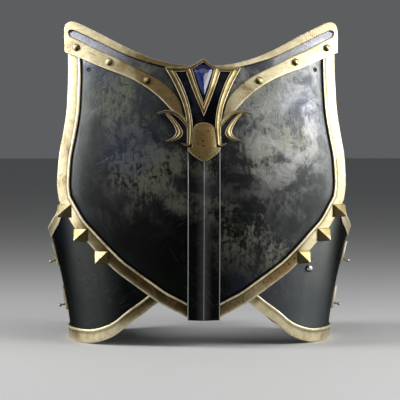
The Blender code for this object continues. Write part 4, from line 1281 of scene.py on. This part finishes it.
def whole_outline(half_points):
    """A closed outline from its right half."""
    left = [Vector((-spot.x, spot.y)) for spot in reversed(half_points) if spot.x > TOUCH]
    return half_points + left


def make_crest_backing(finish):
    """The dark plate that shows between the crest's bars and behind the stone."""
    outline = whole_outline([crest_point(row) for row in BACKING_OUTLINE])
    bm = flat_slab(outline, BACKING_BASE, BACKING_BASE + BACKING_WALL)
    slice_evenly(bm, BACKING_BEND)
    wrap_front(bm)
    dress(bare_object("crest_back_plate", bm), "crest_backing", finish)


def raise_crown(bm, narrow, spine, lift):
    """Raise a smaller copy of the top face, drawn in towards a spine up the middle."""
    top = top_face(bm)
    raised = bmesh.ops.extrude_face_region(bm, geom=[top])
    bmesh.ops.delete(bm, geom=[top], context="FACES_ONLY")
    for item in raised["geom"]:
        if isinstance(item, bmesh.types.BMVert):
            middle = max(spine[0], min(item.co.y, spine[1]))
            item.co.x *= narrow
            item.co.y = middle + (item.co.y - middle) * narrow
            item.co.z = lift


def make_crest_shield(finish):
    """The domed shield at the crest's foot."""
    arch = [crest_point(smooth_point(BOSS_ARCH, share)) for share in even(ARCH_STATIONS)]
    tip = [crest_point(smooth_point(BOSS_TIP, share)) for share in even(TIP_STATIONS)]
    bm = flat_slab(whole_outline(arch + tip), BOSS_BASE, BOSS_BASE + BOSS_WALL)
    spine = [crest_point((0, share)).y for share in BOSS_SPINE]
    shares = even(BOSS_TIERS)
    for before, after in zip(shares, shares[1:]):
        narrow = (1 - after * BOSS_NARROWING) / (1 - before * BOSS_NARROWING)
        rise = (BOSS_DOME - BOSS_WALL) * sin(pi / 2 * after) ** 0.5
        raise_crown(bm, narrow, spine, BOSS_BASE + BOSS_WALL + rise)
    bmesh.ops.poke(bm, faces=[top_face(bm)])
    slice_evenly(bm, BOSS_BEND)
    mark(bm, lambda co: (ease(co.z, BOSS_BASE + BOSS_EDGE, BOSS_BASE + BOSS_EDGE * 0.7) * 0.6, 0.0))
    wrap_front(bm)
    dress(bare_object("crest_shield_boss", bm), "crest_boss", finish, sharp=40)


def make_stone(finish):
    """The long kite-shaped stone with a girdle, two tiers of crown facets and a table."""
    centre = crest_point((0.0, GEM_CENTRE))
    outline = [spot - centre for spot in whole_outline([crest_point(row) for row in GEM_OUTLINE])]
    bm = flat_slab(outline, 0, GEM_GIRDLE)
    for narrow, rise in GEM_TIERS:
        raise_crown(bm, narrow, (0, 0), GEM_GIRDLE + (GEM_TALL - GEM_GIRDLE) * rise)
    bevel_all(bm, GEM_ROUND, 1)
    bmesh.ops.transform(bm, matrix=frame_at(0, centre.y, CREST_BASE), verts=bm.verts)
    item = bare_object("kite_cut_stone", bm)
    dress(item, "gem", finish)
    item.data.shade_flat()


# Studio

def aim(item, target):
    """Turn a camera or light towards a point."""
    item.rotation_mode = "QUATERNION"
    item.rotation_quaternion = (Vector(target) - item.location).to_track_quat("-Z", "Y")


def make_floor():
    """The plain pale floor."""
    bm = bmesh.new()
    bmesh.ops.create_grid(bm, x_segments=1, y_segments=1, size=FLOOR_HALF)
    floor = bare_object("studio_floor", bm)
    paint = bpy.data.materials.new("pale_floor")
    paint.use_nodes = True
    shader = paint.node_tree.nodes["Principled BSDF"]
    shader.inputs["Base Color"].default_value = FLOOR_GREY
    shader.inputs["Roughness"].default_value = FLOOR_ROUGHNESS
    floor.data.materials.append(paint)


def make_softbox(name, turn, distance, height, size, power, aim_height):
    """A tall soft area light at a turn round the front, 0 being straight ahead of the cuirass."""
    light = bpy.data.lights.new(name, "AREA")
    light.shape = "RECTANGLE"
    light.size, light.size_y = size
    light.energy = power
    item = add_object(name, light)
    angle = radians(turn)
    item.location = (distance * sin(angle), BODY_SHIFT - distance * cos(angle), height)
    aim(item, (0, BODY_SHIFT, aim_height))


def make_studio():
    """Floor, softboxes at both sides and above, a dim surround and the camera."""
    make_floor()
    for name, settings in SOFTBOXES.items():
        make_softbox(name, *settings)
    world = bpy.data.worlds.new("studio_surround")
    world.use_nodes = True
    surround = world.node_tree.nodes["Background"]
    surround.inputs["Color"].default_value = SURROUND_GREY
    surround.inputs["Strength"].default_value = SURROUND_STRENGTH
    bpy.context.scene.world = world
    camera = bpy.data.cameras.new("camera")
    camera.lens = LENS
    item = add_object("camera", camera)
    item.location = (CAMERA_DISTANCE * sin(CAMERA_TURN),
                     BODY_SHIFT - CAMERA_DISTANCE * cos(CAMERA_TURN), CAMERA_HEIGHT)
    aim(item, (LOOK_ACROSS, BODY_SHIFT, LOOK_HEIGHT))
    bpy.context.scene.camera = item
    bpy.context.scene.view_settings.view_transform = "Standard"


def make_cuirass():
    """Every piece of the cuirass in its finish."""
    # Each steel's dark and light tones are the ends of its painted light
    panel_steel = make_steel("scuffed_panel_steel", 1.0, 0.35, (0.004, 0.005, 0.004), (0.140, 0.146, 0.148))
    waist_steel = make_steel("waist_plate_steel", 0.30, 0.14, (0.004, 0.005, 0.005), (0.140, 0.149, 0.142),
                             inner=0.090, outer=0.130, painted_sheen=0.55, flank_shade=0.85)
    blade_steel = make_steel("blade_steel", 0.50, 0.10, (0.004, 0.005, 0.004), (0.048, 0.050, 0.049))
    brass = make_brass("aged_brass", "brass", 0.0, (0.52, 0.44, 0.25), (0.71, 0.64, 0.43), painted_shadow=1.0)
    crest_brass = make_brass("crest_brass", "brass", -0.06, (0.38, 0.30, 0.11), (0.58, 0.47, 0.22))
    copper_brass = make_brass("pitted_copper_brass", "copper_brass", -0.06, (0.11, 0.080, 0.038),
                              (0.34, 0.27, 0.14), dull=0.16)
    make_breastplate(panel_steel)
    make_blade(blade_steel)
    make_collar(brass)
    make_crest_backing(make_dark_backing())
    make_crest(crest_brass)
    make_crest_shield(copper_brass)
    make_stone(make_blue_stone())
    make_plate_rivet(make_bright_rivet())
    for side_name, side in (("left", -1), ("right", 1)):
        make_band(side_name, side, brass)
        make_studs(side_name, side, crest_brass)
        make_collar_rivets(side_name, side, crest_brass)
        make_waist_plate(side_name, side, waist_steel)
        make_waist_trims(side_name, side, brass)
        make_flank_mounts(side_name, side, brass, crest_brass)


make_cuirass()
make_studio()
